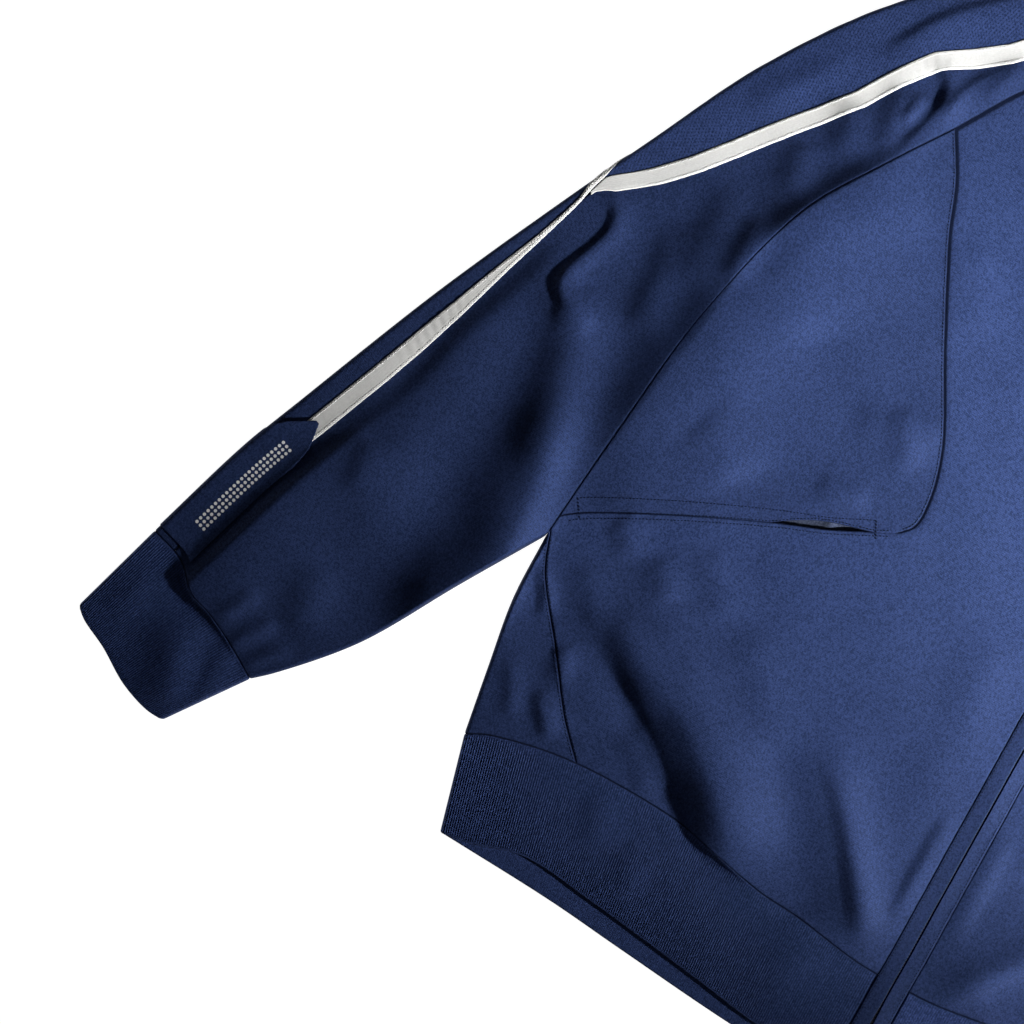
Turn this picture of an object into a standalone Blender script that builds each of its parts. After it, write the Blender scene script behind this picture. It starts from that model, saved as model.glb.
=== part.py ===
# Zipped raglan track jacket, laid flat with its front up.
#
# Lengths are in millimetres until a mesh is made; MM turns them into metres.
# A place on the garment is (out, up): out from the zip line, up from where the hem seam
# meets the zip. The wearer's right side has negative x and the left side positive x.
# The back lies on z = 0. The front is a height over the plan, and both layers meet in
# rounded folds along the outline.

import math

import bmesh
import bpy
import numpy as np
from mathutils import Matrix

MM = 0.001

# Walls and gaps
CLOTH = 1.2
RIB = 2.0
TAPE = 0.8
COVER = 1.6
SEAM_GAP = 0.3
RIB_TRIM = 0.3         # rib is drawn in by its seam
SADDLE_TRIM = 0.6      # wider, under the tapes that cover the saddle's seams
LIFT = 0.45            # clearance under what is sewn on top
FOLD_RADIUS = 2.5      # plan radius of the folded edges
FOLD_MIDDLE = 2.5      # height of the outline over the floor
LAID_HEIGHT = 4.6      # outer height of the front layer along its folds
LOFT = 1.0             # how much more it stands off inside
LOFT_REACH = 26.0

# Zip and its covers
COVER_RAISED = 0.6     # how far a cover stands over the cloth beside it
COVER_WIDTH = 10.5
COVER_PARTING = 0.4
COVER_PARTING_AT_HEM = 1.7
ZIP_HALF_WIDTH = 8.0
ZIP_LOW, ZIP_HIGH = 2.4, 3.5
ZIP_FOOT = -60.0

# Heights on the zip line
NECK_FRONT = 572.0
COLLAR_FRONT_TOP = 640.0
POCKET_LEVEL = 243.0

# Outline of one half, (out, up)
TIP = (311, 133)                       # underarm
CUFF_LOW, CUFF_HIGH = (424, -28), (517, 22)
SIDE_NECK = (95, 650)
RAGLAN_NECK = (84, 620)
BACK_NECK = (66, 641)
UNDERARM = [TIP, (342, 82), (377, 23), (412, -17), CUFF_LOW]
TOP_FOLD = [SIDE_NECK, (180, 598), (277, 520), (333, 445), (372, 369), (402, 308),
            (438, 231), (479, 132), (495, 92), CUFF_HIGH]
BODY_SIDE = [(296, 6), (303, 47), (310, 91), TIP]
RIB_SIDE = [(280, -53), (296, 6)]
CUFF_UPPER_EDGE = [CUFF_HIGH, (535, -39)]
CUFF_LOWER_EDGE = [(458, -75), CUFF_LOW]
COLLAR_SIDE = [(88, 712), SIDE_NECK]

# Seams, (out, up)
RAGLAN = [TIP, (305, 202), (294, 292), (272, 375), (242, 425), (216, 464), (190, 505),
          (140, 562), RAGLAN_NECK]
RAGLAN_BACK = [TIP, (303, 202), (286, 292), (256, 380), (196, 478), (116, 577), BACK_NECK]
CUFF_SEAM = [CUFF_LOW, (443, -16), (464, -5), (478, 0), (494, 14), CUFF_HIGH]
CUFF_END = [(458, -75), (470, -74), (489, -67), (510, -54), (528, -45), (535, -39)]
HEM_SEAM = [(0, 0), (27, 1), (68, 7), (95, 9), (130, 16), (158, 22), (207, 24), (229, 23),
            (252, 20), (284, 12), (296, 6)]
HEM_FRONT_EDGE = [(0, -62), (60, -61), (96, -56), (140, -50), (181, -45), (229, -41),
                  (262, -50), (280, -53)]
HEM_BACK_EDGE = [(0, -72), (73, -69), (151, -62), (203, -57), (280, -53)]
SIDE_SEAM_FRONT = [(229, 23), (248, 43), (274, 78), (301, 114), (310.5, 138)]
SIDE_SEAM_BACK = [(238, 22), (256, 46), (281, 80), (304, 116), (310.5, 138)]
POCKET_SEAM = [(308, 146), (299, 153), (278, 165), (249, 180), (220, 194), (191, 207),
               (166, 217), (144, 228), (130, 235)]
YOKE_SEAM = [(130, 235), (121.5, 245), (121, 262), (129, 292), (159, 349), (188, 406),
             (200, 436), (216, 464)]
NECK_SEAM_FRONT = [(0, NECK_FRONT), (40, 585), RAGLAN_NECK]
NECK_SEAM_BACK = [(0, 632), (36, 634), BACK_NECK]
COLLAR_FRONT_EDGE = [(0, COLLAR_FRONT_TOP), (40, 652), (72, 686), (88, 712)]
COLLAR_BACK_EDGE = [(0, 702), (44, 705), (88, 712)]

# The two tapes, measured over the cloth from the sleeve's top fold: plus is on the front,
# minus on the back. One row for each place along the fold, 0 at the neck and 1 at the cuff.
# along, front tape's outer and inner edge, back tape's outer and inner edge
TAPE_ROWS = [
    (0.00, 13.5, 26.0, -24.0, -11.5),
    (0.06, 22.0, 34.5, -36.0, -23.5),
    (0.12, 30.0, 42.5, -43.0, -30.5),
    (0.22, 39.0, 51.5, -49.0, -36.5),
    (0.29, 36.3, 48.0, -49.0, -36.5),
    (0.36, 39.7, 52.5, -44.0, -31.5),
    (0.42, 33.7, 48.5, -34.5, -22.0),
    (0.46, 29.5, 43.3, -26.0, -13.5),
    (0.49, 23.0, 37.0, -19.0, -6.5),
    (0.515, 16.5, 30.0, -12.5, -0.5),
    (0.54, 8.5, 21.5, -7.0, 2.4),
    (0.56, 4.5, 13.0, -1.5, 4.2),
    (0.578, 3.2, 6.2, 3.2, 6.2),
    (0.60, 6.5, 9.3, 6.5, 9.3),
    (0.63, 8.9, 12.2, 8.9, 12.2),
    (0.66, 9.6, 15.0, 9.6, 15.0),
    (0.70, 10.8, 19.2, 10.8, 19.2),
    (0.74, 11.7, 22.0, 11.7, 22.0),
    (0.80, 12.8, 24.4, 12.8, 24.4),
    (0.85, 12.4, 24.4, 12.4, 24.4),
    (1.00, 11.0, 23.4, 11.0, 23.4),
]
SADDLE_END = 0.578      # where the saddle's two seams meet
SADDLE_TIP = 0.574      # where its cloth ends, just short of that
FRONT_TAPE_END = 0.572
TAPE_APART = 0.5        # between the two tapes where they meet
TAPE_END = 0.871
TAPE_PUCKER = 0.8       # how far the back tape stands off where it turns over the fold
TAPE_TURN = 0.55
# The sleeve patch, row by row: place along, the depths of its two edges, and its clearance
PATCH_ROWS = [
    (0.850, 17.5, 20.0, 1.65),
    (0.868, 6.5, 28.5, 1.65),
    (0.877, 3.4, 30.0, 1.50),
    (0.886, 0.6, 31.0, 1.10),
    (0.900, 0.0, 31.0, 0.60),
    (0.920, 0.0, 31.0, 0.45),
    (0.960, 0.0, 31.0, 0.45),
    (0.994, 0.0, 31.0, 0.45),
]

# Rows of the sleeve, as places along the top fold
SLEEVE_ROWS = [0, 0.06, 0.12, 0.18, 0.24, 0.30, 0.36, 0.42, 0.46, 0.49, 0.515, 0.528, 0.54, 0.56,
               SADDLE_END, 0.60, 0.63, 0.66, 0.70, 0.74, 0.78, 0.82, 0.85, 0.868, 0.886,
               0.92, 0.96, 1]

# Cells of the shared seams
POCKET_CELLS, YOKE_CELLS, FRONT_TOP_CELLS, RAGLAN_TOP_CELLS = 7, 5, 5, 5
SIDE_CELLS, BACK_CELLS, SLEEVE_BACK_CELLS = 7, 10, 5
RIB_ROWS, COLLAR_ROWS, CUFF_ROWS = 3, 2, 2
ZIP_LOWER_CELLS = SIDE_CELLS + 1
ZIP_UPPER_CELLS = YOKE_CELLS + RAGLAN_TOP_CELLS

# Folds of the front layer. A row is a ridge (plus) or a trough (minus) from one place to
# another: start out, start up, end out, end up, sideways bend, width on its left hand and on
# its right hand, and height at its start, middle and end.
RIGHT_FOLDS = [
    # body, from the chest down to the hem seam
    (236, 118, 108, 22, 6, 11, 34, 1.0, 9.0, 12.5),
    (250, 96, 137, 16, 6, 9, 10, -1.0, -2.5, -3.0),
    (92, 92, 34, 6, 4, 7, 18, 0.5, 5.5, 6.0),
    (158, 106, 132, 60, 0, 8, 10, 0.5, 3.0, 0.5),
    (34, 108, 27, 16, 0, 9, 9, 0.5, 3.5, 4.0),
    (284, 84, 264, 22, 4, 9, 12, 0.5, 3.2, 1.5),
    (303, 112, 292, 84, 0, 6, 8, 0.5, 2.0, 0.5),
    (262, 150, 214, 128, 6, 12, 14, 0.5, 4.0, 1.0),
    (150, 214, 118, 214, 0, 8, 12, 0.5, 2.0, 0.5),
    # chest
    (222, 366, 168, 392, 0, 12, 18, 0.5, 3.0, 0.5),
    (186, 238, 146, 262, 0, 10, 14, 0.5, 2.5, 0.5),
    (240, 330, 200, 250, 10, 26, 34, 0.5, 4.0, 1.0),
    (104, 296, 66, 276, 0, 12, 16, 0.5, 2.5, 0.5),
    # along the raglan seam, and the sleeve's long ridges
    (238, 416, 300, 190, 17, 15, 32, 3.0, 8.5, 1.5),
    (382, 322, 432, 128, -14, 13, 42, 9.0, 13.0, 3.0),
    (352, 284, 336, 124, 4, 11, 26, 4.0, 10.0, 5.0),
    (366, 262, 350, 118, 8, 11, 13, -3.0, -6.5, -4.0),
    (364, 336, 372, 276, 14, 9, 10, 3.0, 6.0, 1.5),
    (330, 356, 322, 300, 4, 14, 16, 1.0, 5.0, 1.0),
    (416, 108, 384, 10, 0, 26, 26, 1.5, 5.0, 3.0),
    (444, 22, 452, -14, 0, 9, 12, 0.5, 3.5, 3.5),
    # shoulder
    (224, 506, 232, 434, 0, 6, 11, 2.5, 5.5, 1.0),
    (206, 520, 216, 460, 0, 8, 12, 1.5, 3.5, 0.5),
    (206, 566, 276, 478, 6, 9, 16, 2.0, 3.5, 1.0),
    # rib
    (210, 12, 196, -36, 0, 22, 30, 2.0, 2.0, 0.5),
    (110, 0, 92, -52, 0, 20, 26, 2.0, 2.5, 0.5),
    (486, 2, 478, -58, 0, 14, 16, 1.0, 3.5, 1.0),
]
LEFT_FOLDS = [
    (228, 124, 122, 18, -5, 13, 30, 1.0, 7.5, 10.0),
    (240, 98, 150, 18, 4, 9, 11, -1.0, -2.0, -2.5),
    (86, 100, 52, 10, 6, 9, 16, 0.5, 5.0, 7.0),
    (170, 110, 160, 52, 0, 9, 10, 0.5, 3.5, 1.5),
    (24, 84, 20, 8, 0, 7, 10, 1.0, 4.5, 4.5),
    (288, 92, 258, 26, 6, 10, 12, 0.5, 3.0, 1.5),
    (258, 156, 220, 122, 4, 13, 15, 0.5, 4.5, 1.0),
    (228, 372, 176, 380, 0, 13, 17, 0.5, 3.0, 0.5),
    (190, 246, 150, 268, 0, 10, 15, 0.5, 3.0, 0.5),
    (232, 322, 206, 244, 8, 28, 32, 0.5, 3.5, 1.0),
    (100, 330, 58, 300, 0, 13, 16, 0.5, 2.5, 0.5),
    (242, 410, 300, 196, 16, 17, 30, 2.5, 7.5, 1.5),
    (384, 316, 428, 140, -12, 13, 38, 7.0, 12.0, 3.5),
    (348, 292, 338, 118, 5, 12, 25, 3.5, 9.0, 5.0),
    (364, 254, 354, 122, 8, 11, 13, -2.5, -5.5, -4.0),
    (360, 340, 374, 284, 10, 9, 11, 2.5, 5.0, 2.0),
    (326, 350, 318, 292, 6, 14, 17, 1.0, 4.5, 1.0),
    (420, 100, 380, 14, 4, 24, 28, 1.5, 4.5, 3.5),
    (440, 18, 456, -12, 0, 10, 12, 0.5, 3.0, 3.5),
    (218, 512, 236, 440, 0, 7, 11, 2.0, 4.5, 1.0),
    (200, 572, 270, 486, -6, 10, 15, 2.0, 3.0, 1.0),
    (204, 14, 200, -36, 0, 24, 28, 2.0, 2.0, 0.5),
    (118, 2, 88, -50, 0, 20, 26, 2.0, 2.5, 0.5),
    (484, 0, 480, -56, 0, 14, 16, 1.0, 3.0, 1.0),
]

# Pocket mouth: the stretch of the seam that stands open, as shares of its length
MOUTH_START, MOUTH_END, MOUTH_OPEN = 0.62, 0.93, 3.4
FACING_START, FACING_END, FACING_ABOVE, FACING_BELOW = 0.42, 0.97, 9.0, 16.0
FACING, FACING_DEPTH = 1.0, CLOTH + 0.9

# Slider and pull tab
SLIDER_WIDTH, SLIDER_LENGTH = 9.0, 13.0
SLIDER_LOW, SLIDER_HIGH = 2.4, 7.4
CHEEK_PLACE, CHEEK_HALF, CHEEK_REACH, CHEEK_CAP = 3.1, 0.9, 2.6, 1.6
SLIDER_Y = 625.0
PIN_Y, PIN_Z, PIN_RADIUS = 625.0, 9.8, 0.8
TAB_LENGTH, TAB_WIDTH, TAB_THICK, TAB_NECK = 30.0, 6.0, 1.4, 8.5
EYE_RADIUS, EYE_HOLE, EYE_LENGTH = 2.2, 1.2, 3.6

NAVY = (0.020, 0.036, 0.110, 1)
DARK_NAVY = (0.012, 0.022, 0.070, 1)
WHITE = (0.82, 0.82, 0.79, 1)
BLACK = (0.012, 0.014, 0.020, 1)
STEEL = (0.20, 0.21, 0.23, 1)


# ---------------------------------------------------------------- curves in the plan
def smooth(points, steps=24):
    """Centripetal Catmull-Rom through the points, as a dense polyline."""
    p = np.asarray(points, float)
    p = np.vstack([2 * p[0] - p[1], p, 2 * p[-1] - p[-2]])
    share = np.linspace(0, 1, steps + 1)[:-1, None]
    pieces = []
    for k in range(1, len(p) - 2):
        a, b, c, d = p[k - 1:k + 3]
        ab, bc, cd = (math.sqrt(np.linalg.norm(v)) for v in (b - a, c - b, d - c))
        slope_b = (c - b) + bc * ((b - a) / ab - (c - a) / (ab + bc))
        slope_c = (c - b) + bc * ((d - c) / cd - (d - b) / (bc + cd))
        pieces.append((2 * share**3 - 3 * share**2 + 1) * b + (share**3 - 2 * share**2 + share) * slope_b
                      + (3 * share**2 - 2 * share**3) * c + (share**3 - share**2) * slope_c)
    return np.vstack(pieces + [p[-2:-1]])


def even(line):
    """Length along the polyline, as shares of the whole, with the polyline."""
    along = np.r_[0, np.cumsum(np.linalg.norm(np.diff(line, axis=0), axis=1))]
    return along / along[-1], line


def at(curve, share):
    """Points at these shares of the curve's length."""
    along, line = curve
    return np.stack([np.interp(share, along, line[:, 0]), np.interp(share, along, line[:, 1])], -1)


def share_near(curve, point):
    along, line = curve
    return along[np.linalg.norm(line - np.asarray(point, float), axis=1).argmin()]


def normal_left(curve, share):
    """Unit vectors square to the curve, on its left hand."""
    step = at(curve, np.minimum(share + 0.004, 1)) - at(curve, np.maximum(share - 0.004, 0))
    step = step / np.linalg.norm(step, axis=-1, keepdims=True)
    return np.stack([-step[..., 1], step[..., 0]], -1)


TOP = even(smooth(TOP_FOLD))
UNDER = even(smooth(UNDERARM))
SIDE = even(smooth(BODY_SIDE))
RAGLAN_LINE = even(smooth(RAGLAN))
RAGLAN_BACK_LINE = even(smooth(RAGLAN_BACK))
CUFF_LINE = even(smooth(CUFF_SEAM))
HEM_LINE = even(smooth(HEM_SEAM))
POCKET_LINE = even(smooth(POCKET_SEAM))
YOKE_LINE = even(smooth(YOKE_SEAM))
SIDE_FRONT_LINE = even(smooth(SIDE_SEAM_FRONT))
SIDE_BACK_LINE = even(smooth(SIDE_SEAM_BACK))
CUFF_END_LINE = even(smooth(CUFF_END))
HEM_FRONT_EDGE_LINE = even(smooth(HEM_FRONT_EDGE))
HEM_BACK_EDGE_LINE = even(smooth(HEM_BACK_EDGE))
NECK_FRONT_LINE = even(smooth(NECK_SEAM_FRONT))
NECK_BACK_LINE = even(smooth(NECK_SEAM_BACK))
COLLAR_FRONT_LINE = even(smooth(COLLAR_FRONT_EDGE))
COLLAR_BACK_LINE = even(smooth(COLLAR_BACK_EDGE))

# The folded edges, each walked with the outside on its left hand
UPPER_EDGE = np.vstack([smooth(COLLAR_SIDE), TOP[1][1:], smooth(CUFF_UPPER_EDGE)[1:]])
LOWER_EDGE = np.vstack([smooth(CUFF_LOWER_EDGE), UNDER[1][::-1][1:], SIDE[1][::-1][1:],
                        smooth(RIB_SIDE)[::-1][1:]])


def edge_normals(line):
    """Outward unit vectors at the polyline's points, each the mean of its two stretches."""
    step = np.diff(line, axis=0)
    step = step / np.linalg.norm(step, axis=1, keepdims=True)
    step = np.vstack([step[:1], step]) + np.vstack([step, step[-1:]])
    step = step / np.linalg.norm(step, axis=1, keepdims=True)
    return np.stack([-step[:, 1], step[:, 0]], -1)


def to_edge(plan):
    """Distance from the nearest folded edge, and that edge's outward direction there."""
    flat = plan.reshape(-1, 2)
    best = np.full(len(flat), np.inf)
    outward = np.zeros_like(flat)
    for line in (UPPER_EDGE, LOWER_EDGE):
        normals = edge_normals(line)
        start, step = line[:-1], np.diff(line, axis=0)
        share = ((flat[:, None] - start) * step).sum(-1) / (step**2).sum(-1)
        share = np.clip(share, 0, 1)
        gap = np.linalg.norm(flat[:, None] - start - share[..., None] * step, axis=-1)
        near = gap.argmin(axis=1)
        row = np.arange(len(flat))
        part = share[row, near][:, None]
        normal = (1 - part) * normals[near] + part * normals[near + 1]
        closer = gap[row, near] < best
        best = np.where(closer, gap[row, near], best)
        outward = np.where(closer[:, None], normal, outward)
    outward = outward / np.linalg.norm(outward, axis=1, keepdims=True)
    return best.reshape(plan.shape[:-1]), outward.reshape(plan.shape)


# ---------------------------------------------------------------- heights over the plan
def fold(plan, row):
    """Height that one fold adds: a bell across its bent line, rising and falling along it."""
    out0, up0, out1, up1, bend, width_left, width_right, h_start, h_middle, h_end = row
    axis = np.array([out1 - out0, up1 - up0], float)
    length = np.linalg.norm(axis)
    axis = axis / length
    offset = plan - np.array([out0, up0], float)
    along = offset @ axis / length
    share = np.clip(along, 0, 1)
    across = axis[0] * offset[..., 1] - axis[1] * offset[..., 0] - bend * 4 * share * (1 - share)
    width = np.where(across > 0, width_left, width_right)
    beyond = (along - share) * length / (0.5 * (width_left + width_right))
    bow = 4 * h_middle - 3 * h_start - h_end
    height = h_start + bow * share + (h_end - h_start - bow) * share**2
    return height * np.exp(-(across / width)**2 - beyond**2)


def front_height(side, plan, depth):
    """Outer height of the front layer, before its edge is rounded."""
    height = LAID_HEIGHT + LOFT * (1 - np.exp(-depth / LOFT_REACH))
    for row in RIGHT_FOLDS if side < 0 else LEFT_FOLDS:
        height = height + fold(plan, row)
    lowest = LAID_HEIGHT - 0.2
    return lowest + 0.7 * np.logaddexp(0, (height - lowest) / 0.7)


def back_height(plan):
    """The back lies on the floor, and is held off it only by its own tape's thickness."""
    along = np.linspace(0, 0.55, 60)
    tape = sleeve_plan(along, tape_depths(along)[..., 2:].mean(-1))[0]
    gap = np.linalg.norm(plan[..., None, :] - tape, axis=-1).min(-1)
    ramp = np.clip(1.6 - gap / 16.0, 0, 1)
    return 1.35 * ramp * ramp * (3 - 2 * ramp)


def surface(side, plan, layer):
    """Outer points and outward normals of a layer, 1 for the front and -1 for the back."""
    plan = np.asarray(plan, float)
    depth, outward = to_edge(plan)
    level = 1 - np.minimum(depth / FOLD_RADIUS, 1)
    rise = np.sqrt(1 - level**2)
    if layer > 0:
        top = front_height(side, plan, depth)
        slopes = []
        for axis in range(2):
            step = np.zeros(2)
            step[axis] = 0.5
            ahead, behind = (front_height(side, place_near, to_edge(place_near)[0])
                             for place_near in (plan + step, plan - step))
            slopes.append(ahead - behind)
        flat_normal = np.stack([-slopes[0], -slopes[1], np.ones_like(top)], -1)
    else:
        top = back_height(plan)
        flat_normal = np.broadcast_to([0.0, 0.0, -1.0], plan.shape[:-1] + (3,))
    flat_normal = flat_normal / np.linalg.norm(flat_normal, axis=-1, keepdims=True)
    height = FOLD_MIDDLE + (top - FOLD_MIDDLE) * rise
    outward = np.concatenate([outward, np.zeros_like(depth)[..., None]], -1)
    normal = outward * level[..., None] + flat_normal * rise[..., None]
    normal = normal / np.linalg.norm(normal, axis=-1, keepdims=True)
    points = np.concatenate([plan, height[..., None]], -1)
    mirror = np.array([side, 1.0, 1.0])
    return points * mirror, normal * mirror


# ---------------------------------------------------------------- places on the sleeve
QUARTER = FOLD_RADIUS * math.pi / 2        # cloth over a quarter of a fold
FOLD_COLUMN_PITCH = 1.6
EDGE_STEPS = [0.0, 0.29 * FOLD_RADIUS, FOLD_RADIUS]


def flat_depth(over):
    """Distance in the plan for a distance measured over the rounded fold."""
    over = np.abs(over)
    return np.where(over < QUARTER, FOLD_RADIUS * (1 - np.cos(np.minimum(over / FOLD_RADIUS, math.pi / 2))),
                    over - QUARTER + FOLD_RADIUS)


def tape_depths(along):
    """The four tape edges at these places along the top fold."""
    table = np.array(TAPE_ROWS)
    return np.stack([np.interp(along, table[:, 0], table[:, k]) for k in range(1, 5)], -1)


def toward(start, end):
    step = np.asarray(end, float) - np.asarray(start, float)
    return step / np.linalg.norm(step)


def sleeve_plan(along, over):
    """Plan points, and layers, at signed distances over the cloth from the top fold."""
    along, over = np.broadcast_arrays(np.asarray(along, float), np.asarray(over, float))
    depth = flat_depth(over)[..., None]
    plan = at(TOP, along) - normal_left(TOP, along) * depth
    at_neck = np.where((over >= 0)[..., None], toward(SIDE_NECK, RAGLAN_NECK), toward(SIDE_NECK, BACK_NECK))
    plan = np.where((along <= 0)[..., None], np.asarray(SIDE_NECK, float) + at_neck * depth, plan)
    cuff_length = np.linalg.norm(np.diff(CUFF_LINE[1], axis=0), axis=1).sum()
    plan = np.where((along >= 1)[..., None], at(CUFF_LINE, 1 - depth[..., 0] / cuff_length), plan)
    return plan, np.where(over >= 0, 1, -1)


def length_of(curve):
    return np.linalg.norm(np.diff(curve[1], axis=0), axis=1).sum()


def underarm_plan(along, depth, raglan):
    """Plan points at this depth inside the lower fold of the sleeve, one for each row."""
    along = np.asarray(along, float)
    turn = np.maximum(0, 1 - along / 0.15)[:, None]
    inward = (1 - turn) * normal_left(UNDER, along) + turn * toward(TIP, at(raglan, 0.02))
    inward = inward / np.linalg.norm(inward, axis=1, keepdims=True)
    plan = at(UNDER, along) + inward * depth
    plan[0] = at(raglan, depth / length_of(raglan))
    plan[-1] = at(CUFF_LINE, depth / length_of(CUFF_LINE))
    return plan


# ---------------------------------------------------------------- grids
def shares(start, end, cells):
    return np.linspace(start, end, cells + 1)


def fill(bottom, top, left, right):
    """Transfinite grid between four rows of points that share their corners."""
    bottom, top, left, right = (np.asarray(line, float) for line in (bottom, top, left, right))
    u = np.linspace(0, 1, len(bottom))[None, :, None]
    v = np.linspace(0, 1, len(left))[:, None, None]
    corners = ((1 - u) * (1 - v) * bottom[0] + u * (1 - v) * bottom[-1]
               + (1 - u) * v * top[0] + u * v * top[-1])
    return ((1 - v) * bottom[None] + v * top[None] + (1 - u) * left[:, None] + u * right[:, None]) - corners


# ---------------------------------------------------------------- solids
def material(name, colour, roughness, metallic=0.0):
    made = bpy.data.materials.new(name)
    made.use_nodes = True
    shader = made.node_tree.nodes["Principled BSDF"]
    shader.inputs["Base Color"].default_value = colour
    shader.inputs["Roughness"].default_value = roughness
    shader.inputs["Metallic"].default_value = metallic
    return made


def place(mesh, name, finish):
    """An object for the mesh, among the garment's pieces."""
    made = bpy.data.objects.new(name, mesh)
    mesh.materials.append(finish)
    JACKET.objects.link(made)
    return made


def facing_out(points, normals, faces):
    """Turns the faces round where they point against the normals."""
    a, b, c = (points[faces[:, k]] for k in range(3))
    if (np.cross(b - a, c - a) * normals[faces].mean(1)).sum() < 0:
        return faces[:, ::-1]
    return faces


def merged(blocks):
    """Points, normals and triangles of several grids whose shared points are made one."""
    points, normals, faces, offset = [], [], [], 0
    for grid, normal in blocks:
        rows, columns = grid.shape[:2]
        index = np.arange(rows * columns).reshape(rows, columns)
        a, b, c, d = index[:-1, :-1], index[:-1, 1:], index[1:, 1:], index[1:, :-1]
        halves = np.stack([np.stack([a, b, c], -1), np.stack([a, c, d], -1)]).reshape(-1, 3)
        points.append(grid.reshape(-1, 3))
        normals.append(normal.reshape(-1, 3))
        faces.append(facing_out(points[-1], normals[-1], halves) + offset)
        offset += rows * columns
    points, normals, faces = np.vstack(points), np.vstack(normals), np.vstack(faces)
    _, first, index = np.unique(np.round(points, 3) + 0.0, axis=0, return_index=True, return_inverse=True)
    faces = index.reshape(-1)[faces]
    a, b, c = faces.T
    return points[first], normals[first], faces[(a != b) & (b != c) & (c != a)]


def open_edges(faces):
    ends = np.concatenate([faces[:, [0, 1]], faces[:, [1, 2]], faces[:, [2, 0]]])
    owner = np.tile(np.arange(len(faces)), 3)
    _, index, count = np.unique(np.sort(ends, axis=1), axis=0, return_inverse=True, return_counts=True)
    single = count[index.reshape(-1)] == 1
    return ends[single], owner[single]


def trimmed(points, normals, faces, amount):
    """Draws the outline of the piece in by this amount, along its own surface."""
    ends, _ = open_edges(faces)
    step = points[ends[:, 1]] - points[ends[:, 0]]
    inward = np.cross(normals[ends].mean(1), step)
    inward = inward / np.linalg.norm(inward, axis=1, keepdims=True)
    total = np.zeros_like(points)
    for k in range(2):
        np.add.at(total, ends[:, k], inward)
    square = (total**2).sum(1, keepdims=True)
    shift = np.where(square > 0, 2 * amount * total / np.maximum(square, 1.0), 0)
    return points + shift


def wall(name, blocks, finish, low, high, trim=SEAM_GAP / 2):
    """Closed wall between two offsets of the same surface, both measured along its normals."""
    points, normals, faces = merged(blocks)
    points = trimmed(points, normals, faces, trim)
    count = len(points)
    inner, outer = points + normals * low, points + normals * high
    outer[:, 2] = np.maximum(outer[:, 2], 0)
    ends, _ = open_edges(faces)
    a, b = ends.T
    upward = (points[a, 1] < points[b, 1])[:, None]      # so both sides of a seam split alike
    rim = np.concatenate([
        np.where(upward, np.stack([b, a, a + count], -1), np.stack([b, a, b + count], -1)),
        np.where(upward, np.stack([b, a + count, b + count], -1), np.stack([a, a + count, b + count], -1))])
    solid = np.concatenate([faces, faces[:, ::-1] + count, rim])
    mesh = bpy.data.meshes.new(name)
    mesh.from_pydata((np.vstack([outer, inner]) * MM).tolist(), [], solid.tolist())
    mesh.shade_smooth()
    mesh.set_sharp_from_angle(angle=math.radians(50))
    return place(mesh, name, finish)


def box(name, finish, low, high):
    """A block between two corners in millimetres."""
    low, high = np.array(low, float) * MM, np.array(high, float) * MM
    mesh = bpy.data.meshes.new(name)
    shape = bmesh.new()
    bmesh.ops.create_cube(shape, size=1)
    bmesh.ops.scale(shape, vec=high - low, verts=shape.verts)
    bmesh.ops.translate(shape, vec=(low + high) / 2, verts=shape.verts)
    shape.to_mesh(mesh)
    shape.free()
    return place(mesh, name, finish)


def rod(name, finish, middle, radius, length, sides=20):
    """A cylinder along X."""
    mesh = bpy.data.meshes.new(name)
    shape = bmesh.new()
    bmesh.ops.create_cone(shape, cap_ends=True, segments=sides, radius1=radius * MM, radius2=radius * MM,
                          depth=length * MM)
    bmesh.ops.rotate(shape, matrix=Matrix.Rotation(math.pi / 2, 3, "Y"), verts=shape.verts)
    bmesh.ops.translate(shape, vec=np.array(middle, float) * MM, verts=shape.verts)
    shape.to_mesh(mesh)
    shape.free()
    return place(mesh, name, finish)


def combine(target, other, operation):
    """A Boolean of two solids; the other one stays only as a hidden helper."""
    cut = target.modifiers.new(operation.lower(), "BOOLEAN")
    cut.operation, cut.object = operation, other
    JACKET.objects.unlink(other)
    HELPERS.objects.link(other)
    other.hide_render, other.display_type = True, "WIRE"


# ---------------------------------------------------------------- shared stations
RAGLAN_START = 5.0                          # where the side panel ends on the raglan seam
ALONG = np.array(SLEEVE_ROWS, float)
DEPTHS = tape_depths(ALONG)
FRONT_SEAM, BACK_SEAM = DEPTHS[:, :2].mean(1), DEPTHS[:, 2:].mean(1)
POCKET_ON_RAGLAN = share_near(RAGLAN_LINE, POCKET_SEAM[0])
YOKE_ON_RAGLAN = share_near(RAGLAN_LINE, YOKE_SEAM[-1])


def raglan_at(line, distance):
    return at(line, np.asarray(distance, float) / length_of(line))


RAGLAN_CHEST = at(RAGLAN_LINE, shares(POCKET_ON_RAGLAN, YOKE_ON_RAGLAN, POCKET_CELLS + YOKE_CELLS))
RAGLAN_UPPER = at(RAGLAN_LINE, shares(YOKE_ON_RAGLAN, 1, RAGLAN_TOP_CELLS))
RAGLAN_BEHIND = at(RAGLAN_BACK_LINE, shares(RAGLAN_START / length_of(RAGLAN_BACK_LINE), 1, SLEEVE_BACK_CELLS))
POCKET_POINTS = at(POCKET_LINE, shares(0, 1, POCKET_CELLS))
POCKET_POINTS[0] = RAGLAN_CHEST[0]
YOKE_POINTS = at(YOKE_LINE, shares(0, 1, YOKE_CELLS))
SIDE_FRONT_POINTS = at(SIDE_FRONT_LINE, shares(0, 1, SIDE_CELLS))
SIDE_FRONT_POINTS[-1] = raglan_at(RAGLAN_LINE, RAGLAN_START)
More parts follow.
